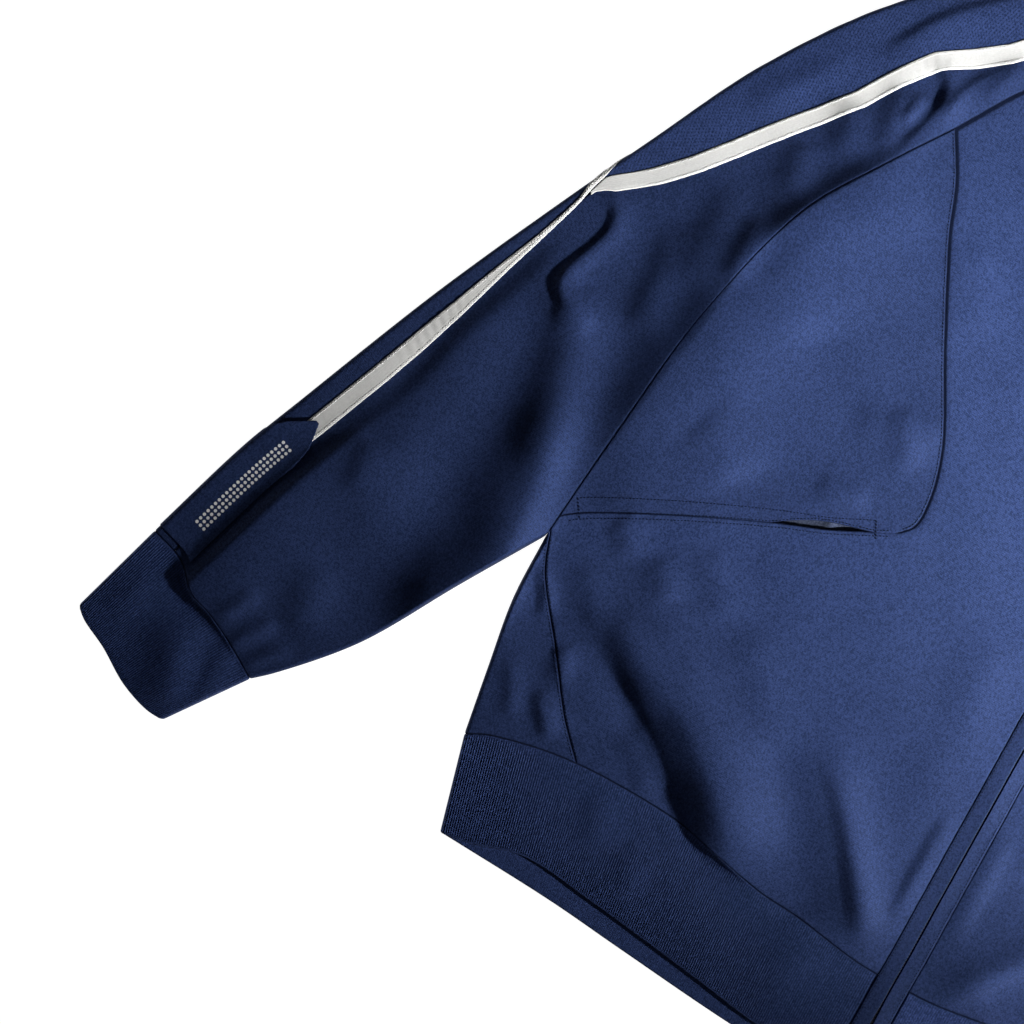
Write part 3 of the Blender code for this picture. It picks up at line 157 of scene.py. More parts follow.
# Folds of the front layer on the right side: places (out, up, height) along each ridge, or trough
# where the height is minus, widths of its left and its right flank, how sharply the left flank
# meets the cloth beside it, and how crisp its crest is, or flat on top where that is minus. A
# row leaves out what is 0 at its end
folds = [
    # body, above the hem seam
    ([(275, 123, 2), (246, 111, 4.2), (218, 97, 7), (189, 80, 10.8), (164, 61, 13.2),
      (144, 43, 13.4), (129, 27, 11), (115, 11, 6.4), (96, -11, 3)], 17, 34, 0.45, 0.3),
    ([(259, 115, 1), (241, 101, 2.8), (218, 83, 2.6), (196, 63, 1)], 11, 12),
    ([(263, 94, -1), (235, 78, -1.6), (205, 56, -1.8), (177, 34, -1.6), (156, 18, -1),
      (133, -2, -0.6)], 8, 8),
    ([(140, 122, 1.5), (107, 95, 3), (76, 64, 4), (49, 36, 4.4), (27, 10, 4),
      (7, -10, 3)], 18, 26, 0.1),
    ([(108, 106, 1), (82, 82, 2.4), (61, 57, 3.4), (45, 36, 3.8), (32, 19, 3.4),
      (22, 5, 2)], 6.5, 12, 0.3, 0.3),
    ([(183, 146, 1.2), (146, 112, 2.4), (120, 79, 1.4)], 18, 20),
    ([(217, 58, 1), (201, 52, 2.2), (186, 38, 2.2), (176, 26, 1)], 10, 14, 0.2),
    ([(281, 162, 0.8), (269, 156, 1.8), (259, 145, 0.8)], 8, 10),
    ([(249, 153, 0.8), (235, 143, 1.6), (226, 132, 0.8)], 9, 11),
    ([(287, 130, 1), (268, 113, 1.6), (251, 95, 1.2)], 9, 12),
    ([(227, 173, 0.8), (209, 159, 1.3), (190, 139, 0.8)], 12, 14),
    ([(19, 114, 0.8), (20, 79, 1.5), (20, 49, 1.6), (19, 28, 1)], 3.6, 9, 0.2),
    ([(49, 235, 0.8), (41, 177, 1.6), (38, 117, 1.4), (37, 84, 0.8)], 18, 20),
    # side panel
    ([(273, 53, 0.8), (265, 44, 2.4), (256, 34, 2.6), (248, 26, 1.4)], 5, 9, 0.2),
    ([(307, 118, 1), (295, 104, 2.2), (287, 87, 1.2)], 4.5, 6, 0.2),
    ([(273, 82, 1), (266, 73, 2.4), (260, 55, 1.2)], 8, 7),
    ([(297, 62, 0.8), (284, 42, 1.8), (277, 23, 1)], 6, 7),
    # chest
    ([(166, 304, 0.8), (151, 288, 1.5), (140, 268, 0.8)], 9, 9),
    ([(188, 240, 0.8), (168, 241, 1.5), (150, 247, 0.8)], 8, 8),
    ([(126, 297, 0.6), (148, 294, 1.3), (166, 290, 1.4), (190, 285, 0.6)], 11, 15),
    ([(269, 236, 1), (243, 226, 2), (225, 212, 1)], 20, 24),
    ([(277, 348, 0.8), (247, 331, 1.8), (226, 308, 0.8)], 22, 26),
    ([(180, 409, 0.8), (158, 387, 1.4), (141, 362, 0.8)], 16, 16),
    # along the raglan seam
    ([(198, 490, 3), (223, 449, 4.4), (242, 421, 5.6), (260, 392, 6.8), (276, 361, 8.4),
      (286, 330, 10), (288, 295, 11.4), (296, 248, 11.6), (302, 199, 10), (308, 159, 7),
      (309, 131, 4.4)], 25, 60, 0, 0.5),
    ([(223, 449, 1), (242, 421, 3), (260, 392, 3.4), (276, 361, 2.6),
      (286, 330, 1.2)], 9, 40, 0, 0.2),
    # sleeve
    ([(373, 311, 1), (384, 272, 2.8), (394, 242, 3.8), (404, 213, 4.2), (412, 181, 3.8),
      (420, 153, 2.4), (423, 130, 1)], 13, 32, 0, -1),
    ([(413, 186, 0.5), (424, 162, 2.2), (434, 141, 4.4), (443, 118, 6.8), (456, 86, 8.2),
      (469, 46, 8.4), (480, 12, 7.2), (488, -20, 4.6), (496, -54, 2)], 9.5, 42, 0, 0.6),
    ([(391, 320, 0.8), (380, 326, 2), (370, 324, 2.4), (366, 312, 2.3), (369, 299, 2.4),
      (374, 286, 2.7), (377, 275, 3), (376, 266, 3), (369, 260, 2.6), (358, 260, 2),
      (344, 264, 0.8)], 3.2, 9, 0.2, 0.2),
    ([(345, 255, 0.8), (362, 254, 1.6), (375, 251, 0.8)], 6, 9),
    ([(367, 290, 1.5), (362, 262, 5.2), (353, 235, 6.6), (345, 206, 6.4), (338, 175, 4.6),
      (332, 142, 2)], 18, 22, 0, 0.1),
    ([(354, 243, 1), (344, 201, 4.8), (336, 164, 8.8), (331, 130, 12), (329, 102, 13.4),
      (332, 73, 13), (340, 45, 12), (350, 18, 9)], 31, 18, 0, 0.1),
    ([(359, 117, 1), (357, 90, 2.8), (355, 67, 3.8), (352, 42, 4.4), (351, 18, 3.6),
      (352, -3, 2)], 18, 26, 0, 0.1),
    ([(429, 138, 0.8), (426, 118, 2.2), (423, 95, 0.8)], 8, 13, 0.1),
    ([(404, 181, 1), (407, 138, 3.2), (405, 98, 3.4), (404, 58, 1.5)], 22, 26),
    ([(417, 57, 1), (416, 30, 3), (411, 5, 1.5)], 14, 14),
    ([(459, -9, 1), (451, 7, 2), (442, 23, 0.8)], 5, 6),
    ([(446, -18, 1), (437, -5, 2.2), (424, 11, 0.8)], 5, 6),
    ([(433, -26, 1), (421, -11, 1.8), (408, 0, 0.8)], 4, 6),
    ([(313, 381, 0.8), (311, 353, 2.4), (311, 325, 2.6), (306, 295, 1.2)], 13, 16),
    ([(345, 334, 0.8), (330, 318, 1.8), (325, 287, 2.4), (324, 257, 1.2)], 10, 14),
    ([(290, 366, 1), (290, 338, 2.2), (290, 312, 1)], 8, 10),
    # shoulder
    ([(254, 487, 0.8), (242, 491, 2.2), (233, 487, 3), (229, 475, 3), (231, 460, 2.4),
      (236, 442, 1.8), (241, 424, 1)], 4.2, 10, 0.1, 0.15),
    ([(244, 475, 0.8), (243, 462, 2.2), (245, 450, 1)], 4, 6, 0.2),
    ([(196, 524, 0.8), (203, 505, 1.2), (209, 483, 0.8)], 5, 8),
    ([(254, 478, 0.8), (252, 461, 2.6), (250, 441, 2.4), (251, 426, 0.8)], 9, 10),
    ([(277, 454, 0.8), (271, 434, 2.2), (270, 411, 1)], 10, 13),
    ([(196, 523, 0.8), (208, 506, 1.6), (219, 489, 2.4), (223, 473, 2.2), (222, 459, 0.8)], 5, 12),
    ([(293, 415, 0.8), (287, 398, 1.8), (286, 377, 0.8)], 10, 10),
    ([(183, 587, 1.2), (206, 565, 2.2), (226, 545, 2.5), (249, 522, 2.7), (258, 510, 2.7),
      (268, 493, 2.4), (279, 471, 1)], 4.4, 18, 0.2, 0.2),
    ([(331, 409, 0.8), (310, 444, 1.6), (285, 474, 0.8)], 9, 10),
]
ribFolds = [
    ([(215, 15, 0.8), (202, 4, 2), (191, -11, 1.2)], 11, 14),
    ([(182, -9, 0.8), (170, -17, 1.6), (158, -25, 0.8)], 9, 12),
    ([(75, 11, 0.8), (60, -5, 2), (43, -23, 0.8)], 18, 20),
    ([(478, -8, 0.8), (471, -31, 4.4), (463, -54, 5.2), (456, -72, 4)], 17, 12, 0, 0.1),
    ([(451, -14, 0.8), (444, -30, 2.4), (443, -47, 2.8), (441, -61, 2.2)], 7, 9, 0.2),
    ([(510, 1, 0.8), (509, -16, 1.8), (512, -34, 0.8)], 10, 10),
]
leftChange = {"out": 5.0, "up": 7.0, "height": 0.18}
foldForm = {"reach": 2.6, "ends": 0.25, "foot": 1.35}


# Curves in the plan

# Vectors over their own lengths
def unit(vectors):
    return vectors / np.maximum(np.linalg.norm(vectors, axis=-1, keepdims=True), 1e-9)


# Lengths of the steps of a polyline
def stepsOf(points):
    return np.linalg.norm(np.diff(points, axis=0), axis=1)


# Centripetal Catmull-Rom through the points: cubic pieces whose end slopes are the mean of the
# slopes of their neighbours, weighed by the square roots of the distances
def smooth(points, steps=24):
    p = np.asarray(points, float)
    p = np.vstack([2 * p[0] - p[1], p, 2 * p[-1] - p[-2]])
    t = np.linspace(0, 1, steps + 1)[:-1, None]
    pieces = []
    for k in range(1, len(p) - 2):
        a, b, c, d = p[k - 1:k + 3]
        ab, bc, cd = (math.sqrt(np.linalg.norm(v)) for v in (b - a, c - b, d - c))
        slopeB = (c - b) + bc * ((b - a) / ab - (c - a) / (ab + bc))
        slopeC = (c - b) + bc * ((d - c) / cd - (d - b) / (bc + cd))
        pieces.append((2 * t**3 - 3 * t**2 + 1) * b + (t**3 - 2 * t**2 + t) * slopeB
                      + (3 * t**2 - 2 * t**3) * c + (t**3 - t**2) * slopeC)
    return np.vstack(pieces + [p[-2:-1]])


# A curve is a polyline with the length along it as shares of the whole
def even(points):
    along = np.r_[0, np.cumsum(stepsOf(points))]
    return along / along[-1], points


# A curve made of pieces one after another, without doubled points
def chained(*parts):
    points = np.vstack([np.asarray(part, float).reshape(-1, 2) for part in parts])
    return even(points[np.r_[True, stepsOf(points) > 1e-6]])


# Points at these shares of a curve's length, straight between its points
def at(curve, share):
    along, points = curve
    return np.stack([np.interp(share, along, points[:, k]) for k in (0, 1)], -1)


# Part of a curve between two shares, as points
def stretch(curve, start, end, steps=80):
    return at(curve, np.linspace(start, end, steps + 1))


# Length of a curve: the sum of its steps
def lengthOf(curve):
    return stepsOf(curve[1]).sum()


# Share of the point of a curve nearest to this one
def shareNear(curve, point):
    return curve[0][np.linalg.norm(curve[1] - point, axis=1).argmin()]


# Share at which a curve that runs outward reaches this far out
def shareAtOut(curve, out):
    return np.interp(out, curve[1][:, 0], curve[0])


# Unit vectors square to the curve, on its left hand
def leftOf(curve, share, near=0.004):
    step = unit(at(curve, np.minimum(share + near, 1)) - at(curve, np.maximum(share - near, 0)))
    return np.stack([-step[..., 1], step[..., 0]], -1)


# Unit vector from one point to another
def toward(start, end):
    return unit(np.subtract(end, start).astype(float))


line = {name: even(smooth(points)) for name, points in seams.items()}
free = np.vstack([line[name][1] for name in ("cuffEnd", "collarFrontEdge", "collarBackEdge",
                                             "hemBackEdge")])
middle = (free[:, 1].min() + free[:, 1].max()) / 2         # this far up lies at y = 0
upperEdge = chained(line["collarSide"][1], line["top"][1], line["cuffUpper"][1])[1]
lowerEdge = chained(line["cuffLower"][1], line["under"][1][::-1], line["side"][1][::-1],
                    line["ribSide"][1][::-1])[1]


# A distance as a share of one of the lines
def shareOf(name, distance):
    return distance / lengthOf(line[name])


# Nearest place on a polyline for each point, from the foot of the perpendicular on each step
# of the line: distance, step number, share of that step, and side, from 1 on the left hand to
# -1 on the right
def nearestOn(flat, points, chunk=8000):
    start, step = points[:-1], np.diff(points, axis=0)
    square = (step**2).sum(-1)
    found = [np.zeros((4, 0))]
    for first in range(0, len(flat), chunk):
        some = flat[first:first + chunk]
        ox = some[:, :1] - start[:, 0]
        oy = some[:, 1:] - start[:, 1]
        share = np.clip((ox * step[:, 0] + oy * step[:, 1]) / square, 0, 1)
        gap = (ox - share * step[:, 0])**2 + (oy - share * step[:, 1])**2
        near = gap.argmin(1)
        row = np.arange(len(some))
        away = np.sqrt(gap[row, near])
        hand = step[near, 0] * oy[row, near] - step[near, 1] * ox[row, near]
        hand = hand / np.maximum(np.sqrt(square[near]) * away, 1e-9)
        found.append(np.stack([away, near, share[row, near], np.clip(hand, -1, 1)]))
    return np.concatenate(found, 1)


# Distance from each place to a polyline
def distanceTo(points, plan):
    return nearestOn(plan.reshape(-1, 2), points)[0].reshape(plan.shape[:-1])


# Heights over the plan

# Cubic step from 0 to 1, level at both ends
def eased(share):
    share = np.clip(share, 0, 1)
    return share * share * (3 - 2 * share)


# A bell across a smooth line, with its own width on each flank; the height follows the places
# along the line and eases to nothing at both ends. On the left flank a lower power of the
# distance makes the crest crisp, and a parabola makes the foot meet the cloth at an angle
def foldHeight(plan, fold):
    places, widthLeft, widthRight, valley, crest = (*fold, 0, 0)[:5]
    curve = smooth(places, 8)
    reach = foldForm["reach"] * max(widthLeft, widthRight)
    low, high = curve[:, :2].min(0) - reach, curve[:, :2].max(0) + reach
    within = ((plan > low) & (plan < high)).all(-1)
    height = np.zeros(plan.shape[:-1])
    away, step, share, hand = nearestOn(plan[within], curve[:, :2])
    step = step.astype(int)
    length = stepsOf(curve[:, :2])
    done = np.r_[0, np.cumsum(length)]
    along = (done[step] + share * length[step]) / done[-1]
    ridge = curve[step, 2] + share * (curve[step + 1, 2] - curve[step, 2])
    ridge = ridge * eased(along / foldForm["ends"]) * eased((1 - along) / foldForm["ends"])
    away = away / (0.5 * (widthLeft + widthRight) + 0.5 * (widthLeft - widthRight) * hand)
    foot = np.maximum(1 - (away / foldForm["foot"])**2, 0)
    left = (1 - valley) * np.exp(-away**(2 - crest)) + valley * foot
    height[within] = ridge * np.where(hand > 0, left, np.exp(-away**2))
    return height


# The left side's folds are like the right's, each moved and scaled a little
def leftFold(number, fold):
    out, up, height = leftChange["out"], leftChange["up"], leftChange["height"]
    shift = (out * math.sin(1.7 * number), up * math.cos(2.3 * number), 0)
    scale = (1, 1, 1 + height * math.sin(3.1 * number + 1))
    return (np.add(fold[0], shift) * scale, *fold[1:])


foldsOf = {-1: (folds, ribFolds), 1: tuple([leftFold(k, fold) for k, fold in enumerate(rows)]
                                           for rows in (folds, ribFolds))}


# Slow unevenness of loosely laid cloth: four crossed sines of unlike lengths
def unevenness(plan):
    out, up = plan[..., 0], plan[..., 1]
    return 0.22 * (np.sin(out / 9.1 + 1.3 * np.sin(up / 23)) * np.sin(up / 13.7 + 0.8)
                   + 0.8 * np.sin(out / 21 - up / 17 + 2.1) * np.sin(out / 33 + up / 15))


# The laid layer rises a little from its folded edge, then come the folds, which fade in the rib;
# a soft maximum keeps it on the layer below
def frontHeight(side, plan, depth, fade):
    height = laid["height"] + laid["loft"] * (1 - np.exp(-depth / laid["loftReach"]))
    height = height + unevenness(plan * [side, 1]) * np.clip(depth / laid["unevenReach"], 0, 1)
    onCloth, onRib = foldsOf[side]
    height = height + fade * sum(foldHeight(plan, fold) for fold in onCloth)
    height = height + sum(foldHeight(plan, fold) for fold in onRib)
    lowest, soft = laid["height"] - laid["sag"], laid["softness"]
    return lowest + soft * np.logaddexp(0, (height - lowest) / soft)


# The back lies on the floor, and only its own tape's thickness holds it off
def backHeight(plan):
    along = np.linspace(0, tapeRise["end"], 60)
    seam = sleevePlan(along, tapeDepths(along)[:, 2:].mean(-1))[0]
    gap = distanceTo(seam, plan)
    share = (tapeRise["none"] - gap) / (tapeRise["none"] - tapeRise["full"])
    return tapeRise["height"] * eased(share)


# Outer points of a layer, 1 for the front and -1 for the back: its height over the plan,
# brought down to the outline's by a quarter circle over the fold
def surface(side, plan, layer, fade=1.0):
    plan = np.asarray(plan, float)
    layer = np.broadcast_to(layer, plan.shape[:-1])
    fade = np.broadcast_to(fade, plan.shape[:-1])
    depth = np.minimum(distanceTo(upperEdge, plan), distanceTo(lowerEdge, plan))
    rise = np.sqrt(1 - (1 - np.minimum(depth / cloth["foldRadius"], 1))**2)
    top = np.empty(plan.shape[:-1])
    front = layer > 0
    top[front] = frontHeight(side, plan[front], depth[front], fade[front])
    top[~front] = backHeight(plan[~front])
    height = cloth["foldMiddle"] + (top - cloth["foldMiddle"]) * rise
    return np.concatenate([plan * [side, 1], height[..., None]], -1)


# Places on the sleeve

quarter = cloth["foldRadius"] * math.pi / 2        # cloth over a quarter of a fold
foldDepths = cloth["foldRadius"] * (1 - np.cos(np.linspace(0, math.pi / 2, 7)))


# Distance in the plan for a distance measured over the rounded fold
def flatDepth(over):
    over = np.abs(over)
    radius = cloth["foldRadius"]
    return np.where(over < quarter, radius * (1 - np.cos(np.minimum(over / radius, math.pi / 2))),
                    over - quarter + radius)


# The columns of a table at places along, straight between its rows
def tableAt(table, along):
    return np.stack([np.interp(along, table[:, 0], column) for column in table.T[1:]], -1)


# Edges of both tapes at places along
def tapeDepths(along):
    return tableAt(tapeRows, along)


# From 0 before the cuff's seam to 1 at it
def nearCuff(along):
    return np.clip((along - sleeve["cuffStart"]) / (1 - sleeve["cuffStart"]), 0, 1)[..., None]


# Plan points, and layers, at signed distances over the cloth from the top fold. Square to the
# fold, but turned to the neck seam's line near the neck and to the cuff seam near the cuff
def sleevePlan(along, over):
    along, over = np.broadcast_arrays(np.asarray(along, float), np.asarray(over, float))
    depth = flatDepth(over)[..., None]
    share = np.clip(along, 0, 1)
    start = at(line["top"], share)
    square = start - leftOf(line["top"], share) * depth
    front = (over >= 0)[..., None]
    neckWay = np.where(front, toward(sideNeck, raglanNeck), toward(sideNeck, backNeck))
    cuffWay = at(line["cuff"], 1 - shareOf("cuff", depth[..., 0])) - np.asarray(cuffHigh, float)
    toNeck = np.clip(1 - along / sleeve["neckEnd"], 0, 1)[..., None]
    toCuff = nearCuff(along)
    plan = ((1 - toNeck - toCuff) * square + toNeck * (start + neckWay * depth)
            + toCuff * (start + cuffWay))
    return plan, np.where(over >= 0, 1, -1)


# Plan points at this depth inside the lower fold of the sleeve, from the raglan to the cuff
def underarmPlan(along, depth, raglan):
    along = np.asarray(along, float)
    turn = np.maximum(0, 1 - along / sleeve["turnEnd"])[..., None]
    inward = (1 - turn) * leftOf(line["under"], along)
    inward = unit(inward + turn * toward(tip, at(line[raglan], 0.02)))
    start = at(line["under"], along)
    cuffWay = at(line["cuff"], shareOf("cuff", depth)) - np.asarray(cuffLow, float)
    toCuff = nearCuff(along)
    plan = (1 - toCuff) * (start + inward * depth) + toCuff * (start + cuffWay)
    return np.where((along <= 0)[..., None], at(line[raglan], shareOf(raglan, depth)), plan)


# Grids

# Shares from 0 to 1 about one pitch apart, closer together towards the seams at the ends
def stations(length, spacing, ends=(True, True), keep=()):
    share = [np.linspace(0, 1, max(2, round(length / (spacing * coarse))) + 1), keep]
    if ends[0]:
        share.append(besideSeam / length)
    if ends[1]:
        share.append(1 - besideSeam / length)
    share = np.unique(np.round(np.concatenate(share), 7))
    return share[np.r_[True, np.diff(share) > 0.1 / length]]


# Coons patch: the two ruled surfaces between facing edges, less the bilinear one of the corners
def filled(bottom, top, left, right, u, v):
    bottom, top, left, right = at(bottom, u), at(top, u), at(left, v), at(right, v)
    u, v = u[None, :, None], v[:, None, None]
    corners = ((1 - u) * (1 - v) * bottom[0] + u * (1 - v) * bottom[-1]
               + (1 - u) * v * top[0] + u * v * top[-1])
    return ((1 - v) * bottom[None] + v * top[None] + (1 - u) * left[:, None]
            + u * right[:, None] - corners)


# How far a wall's faces come together near the named edges of a grid: a quarter circle of this
# radius, over the distance from the edge along the grid
def pinchAt(points, edges, radius):
    steps = [np.diff(points, axis=1, prepend=points[:, :1]),
             np.diff(points, axis=0, prepend=points[:1])]
    across, down = (np.cumsum(np.linalg.norm(step, axis=-1), axis)
                    for step, axis in zip(steps, (1, 0)))
    distance = {"left": across, "right": across[:, -1:] - across, "bottom": down,
                "top": down[-1:] - down}
    pinch = np.zeros(points.shape[:2])
    for edge in edges.split():
        share = 1 - np.minimum(distance[edge] / (2 * radius), 1)
        pinch = np.maximum(pinch, radius * (1 - np.sqrt(1 - share**2)))
    return pinch


# One grid of a piece: outer points, texture places, the way it faces, and its pinch
def block(side, plan, layer, edges="left right bottom top", uv=None, radius=cloth["seamRoll"],
          fade=1.0):
    points = surface(side, plan, layer, fade)
    return {"points": points, "uv": plan if uv is None else uv,
            "layer": np.broadcast_to(layer, plan.shape[:-1]),
            "pinch": pinchAt(points, edges, radius)}


# Pinches a grid further at these edges, by this share: the larger pinch stays
def addPinch(grid, edges, radius=cloth["seamRoll"], share=1.0):
    grid["pinch"] = np.maximum(grid["pinch"], pinchAt(grid["points"], edges, radius) * share)


# Sums at each point the vectors of the faces or edges that meet there
def gathered(vectors, corners, count):
    total = np.zeros((count, 3))
    for column in corners.T:
        for axis in range(3):
            total[:, axis] += np.bincount(column, vectors[:, axis], count)
    return total


# Normals at the points: the faces' cross products of diagonals, added up
def vertexNormals(points, quads):
    a, b, c, d = (points[quads[:, k]] for k in range(4))
    return unit(gathered(np.cross(c - a, d - b), quads, len(points)))


# Quads of a grid of points, row by row
def gridFaces(rows, columns):
    index = np.arange(rows * columns).reshape(rows, columns)
    corners = [index[:-1, :-1], index[:-1, 1:], index[1:, 1:], index[1:, :-1]]
    return np.stack(corners, -1).reshape(-1, 4)


# Faces of many small forms that each have this many points
def repeatedFaces(faces, size, count):
    return (np.asarray(faces)[None] + size * np.arange(count)[:, None, None]).reshape(-1, 4)


# The grids of a piece as one sheet: shared points are made one, and each grid's faces are
# turned so that the front looks up and the back looks down
def joinedBlocks(blocks):
    quads, offset = [], 0
    for part in blocks:
        faces = gridFaces(*part["points"].shape[:2])
        flat = part["points"].reshape(-1, 3)
        if (vertexNormals(flat, faces)[:, 2] * part["layer"].reshape(-1)).sum() < 0:
            faces = faces[:, ::-1]
        quads.append(faces + offset)
        offset += len(flat)
    points, uvs, pinches = (np.vstack([part[key].reshape(-1, size) for part in blocks])
                            for key, size in (("points", 3), ("uv", 2), ("pinch", 1)))
    _, first, index = np.unique(np.round(points, 3) + 0.0, axis=0, return_index=True,
                                return_inverse=True)
    quads = index.reshape(-1)[np.vstack(quads)]
    same = [quads[:, k] == quads[:, k - 1] for k in range(4)]
    quads = quads[~(same[0] & same[2]) & ~(same[1] & same[3])]
    return points[first], uvs[first], pinches[first, 0], quads


# Edges that only one face has, running as that face does
def openEdges(quads):
    ends = np.concatenate([quads[:, [k, (k + 1) % 4]] for k in range(4)])
    ends = ends[ends[:, 0] != ends[:, 1]]
    _, index, count = np.unique(np.sort(ends, axis=1), axis=0, return_inverse=True,
                                return_counts=True)
    return ends[count[index.reshape(-1)] == 1]


# Draws the outline in along the surface: each open edge pushes its ends square to itself
def drawnIn(points, normals, ends, amount):
    inward = unit(np.cross(normals[ends].mean(1), points[ends[:, 1]] - points[ends[:, 0]]))
    total = gathered(inward, ends, len(points))
    square = (total**2).sum(1, keepdims=True)
    return points + np.where(square > 0, 2 * amount * total / np.maximum(square, 1.0), 0)


# Object at the origin, in the scene
def placed(name, data):
    made = bpy.data.objects.new(name, data)
    bpy.context.scene.collection.objects.link(made)
    return made


# Smooth mesh, sharp over 60 degrees, with its texture places and the seam shares that paint shade
def makeObject(name, points, faces, finish, uv=None, seam=None):
    mesh = bpy.data.meshes.new(name)
    corners = [list(dict.fromkeys(face)) for face in faces.tolist()]
    mesh.from_pydata((points * mm).tolist(), [], corners)
    mesh.shade_smooth()
    mesh.set_sharp_from_angle(angle=math.radians(60))
    if uv is not None:
        corner = np.empty(len(mesh.loops), np.int32)
        mesh.loops.foreach_get("vertex_index", corner)
        layer = mesh.uv_layers.new(name="cloth")
        layer.data.foreach_set("uv", (uv[corner] * mm).astype(np.float32).ravel())
        values = mesh.attributes.new("seam", "FLOAT", "POINT").data
        values.foreach_set("value", seam.astype(np.float32))
    mesh.materials.append(finish)
    return placed(name, mesh)


# Carries a piece on the garment's body
def onGarment(made):
    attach(made, "garment")


# Closed wall between two offsets of the same sheet, drawn together where it is pinched. The seam
# attribute, for painted shade, is 1 in a seam and some way there on a steep edge
def wall(name, blocks, finish, low, high, trim):
    points, uv, pinch, quads = joinedBlocks(blocks)
    points[:, 1] -= middle
    normals = vertexNormals(points, quads)
    meeting = np.abs(points[:, 0]) < 1e-6                 # the two halves of a band meet flush
    ends = openEdges(quads)
    points = drawnIn(points, normals, ends, trim)
    points[meeting, 0] = normals[meeting, 0] = 0
    # painted shade share: full in pinched seams and rib valleys, partly on steep edges where shade
    # falls
    steep = np.clip(1 - np.abs(normals[:, 2]) / edgeShade["steep"], 0, 1)
    seam = np.maximum(np.clip(pinch / cloth["seamRoll"], 0, 1), edgeShade["share"] * steep)
    pinch = np.minimum(pinch, 0.45 * (high - low))[:, None]
    outer, inner = points + normals * (high - pinch), points + normals * (low + pinch)
    outer[:, 2] = np.maximum(outer[:, 2], 0)
    a, b = ends.T
    count = len(points)
    rim = np.stack([b, a, a + count, b + count], -1)
    faces = np.concatenate([quads, quads[:, ::-1] + count, rim])
    return makeObject(name, np.vstack([outer, inner]), faces, finish, np.vstack([uv, uv]),
                      np.r_[seam, seam])


# A cloth piece that takes the place of its solid
def makeCloth(kind, settings, side=0, letter=""):
    own = clothDefaults | settings
    label = kind + "_" + letter if letter else kind
    made = wall(label + "_cloth", own["grids"](side), own["finish"], own["low"], own["high"],
                own["trim"])
    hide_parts(own["node"] or label)
    onGarment(made)


# Finishes

# Sets a socket to a constant, or links a value to it
def feed(socket, value):
    if isinstance(value, bpy.types.NodeSocket):
        socket.id_data.links.new(value, socket)
    else:
        socket.default_value = value


# The same for several inputs of a node, by name or number
def feedAll(node, values):
    for key, value in values.items():
        feed(node.inputs[key], value)


# A material whose Principled shader has these values
def newMaterial(name, values):
    made = bpy.data.materials.new(name)
    made.use_nodes = True
    shader = made.node_tree.nodes["Principled BSDF"]
    feedAll(shader, values)
    return made, made.node_tree, shader


# A node with its inputs, by name or number, and its settings
def addNode(tree, kind, inputs=None, **settings):
    made = tree.nodes.new(kind)
    for key, value in settings.items():
        setattr(made, key, value)
    feedAll(made, inputs or {})
    return made


# One step of arithmetic on constants or links
def mathNode(tree, operation, *values):
    return addNode(tree, "ShaderNodeMath", dict(enumerate(values)), operation=operation).outputs[0]


# Colour that goes from the first to the second as the factor goes from 0 to 1
def mixColour(tree, factor, first, second):
    values = {0: factor, 6: first, 7: second}
    return addNode(tree, "ShaderNodeMix", values, data_type="RGBA").outputs[2]


# Smooth noise from 0 to 1 over these places, so many cells to a unit
def noiseOn(tree, places, scale, detail, roughness=0.5):
    values = {"Vector": places, "Scale": scale, "Detail": detail, "Roughness": roughness}
    return addNode(tree, "ShaderNodeTexNoise", values).outputs["Fac"]


# Tilts the shader's normal by the slope of a height, in this depth for a height of 1
def bumpOn(tree, shader, height, distance):
    values = {"Height": height, "Distance": distance, "Strength": 1.0}
    feed(shader.inputs["Normal"], addNode(tree, "ShaderNodeBump", values).outputs[0])


# Fraction of a coordinate in cells of this pitch, less a half: 0 in the middle of a cell
def inCell(calc, value, pitch, shift=0.0):
    return calc("SUBTRACT", calc("FRACT", calc("MULTIPLY_ADD", value, 1 / pitch, shift)), 0.5)


holes = {"pitch": 2.4, "row": 1.7, "length": 0.27, "width": 0.15, "slant": 0.75, "share": 0.55}
dots = {"pitch": 3.1, "radius": 0.33, "middle": 18.6, "halfBand": 4.65, "start": 685.1,
        "end": 759.5, "colour": (0.78, 0.78, 0.76, 1)}
# painted shade of the tape's puckered middle: the band between its stitch rows is mixed towards
# grey
tapeMiddleShade = {"middle": 6.25, "half": 3.6, "share": 0.30, "colour": (0.42, 0.42, 0.42, 1)}
stitchCell = (0.75 * mm, 0.95 * mm, 1)


# Short slanted dashes, each row moved half a cell: 1 inside a long narrow box in every cell
def dashes(calc, u, w):
    row = calc("FLOOR", calc("DIVIDE", w, holes["row"]))
    across = inCell(calc, calc("MULTIPLY_ADD", row, holes["pitch"] / 2, u), holes["pitch"])
    along = calc("MULTIPLY", inCell(calc, w, holes["row"]), holes["row"] / holes["pitch"])
    cos, sin = math.cos(holes["slant"]), math.sin(holes["slant"])
    a = calc("MULTIPLY_ADD", across, cos, calc("MULTIPLY", along, sin))
    b = calc("MULTIPLY_ADD", across, -sin, calc("MULTIPLY", along, cos))
    inside = [calc("LESS_THAN", calc("ABSOLUTE", value), holes[key])
              for value, key in ((a, "length"), (b, "width"))]
    return calc("MULTIPLY", *inside)


# A band of round dots in three rows along the patch
def dotBand(calc, u, w):
    a = inCell(calc, calc("SUBTRACT", u, dots["middle"]), dots["pitch"], 0.5)
    b = inCell(calc, w, dots["pitch"])
    away = calc("SQRT", calc("MULTIPLY_ADD", a, a, calc("MULTIPLY", b, b)))
    middle, half = 0.5 * (dots["start"] + dots["end"]), 0.5 * (dots["end"] - dots["start"])
    band = calc("MULTIPLY", calc("COMPARE", u, dots["middle"], dots["halfBand"]),
                calc("COMPARE", w, middle, half))
    return calc("MULTIPLY", calc("LESS_THAN", away, dots["radius"]), band)


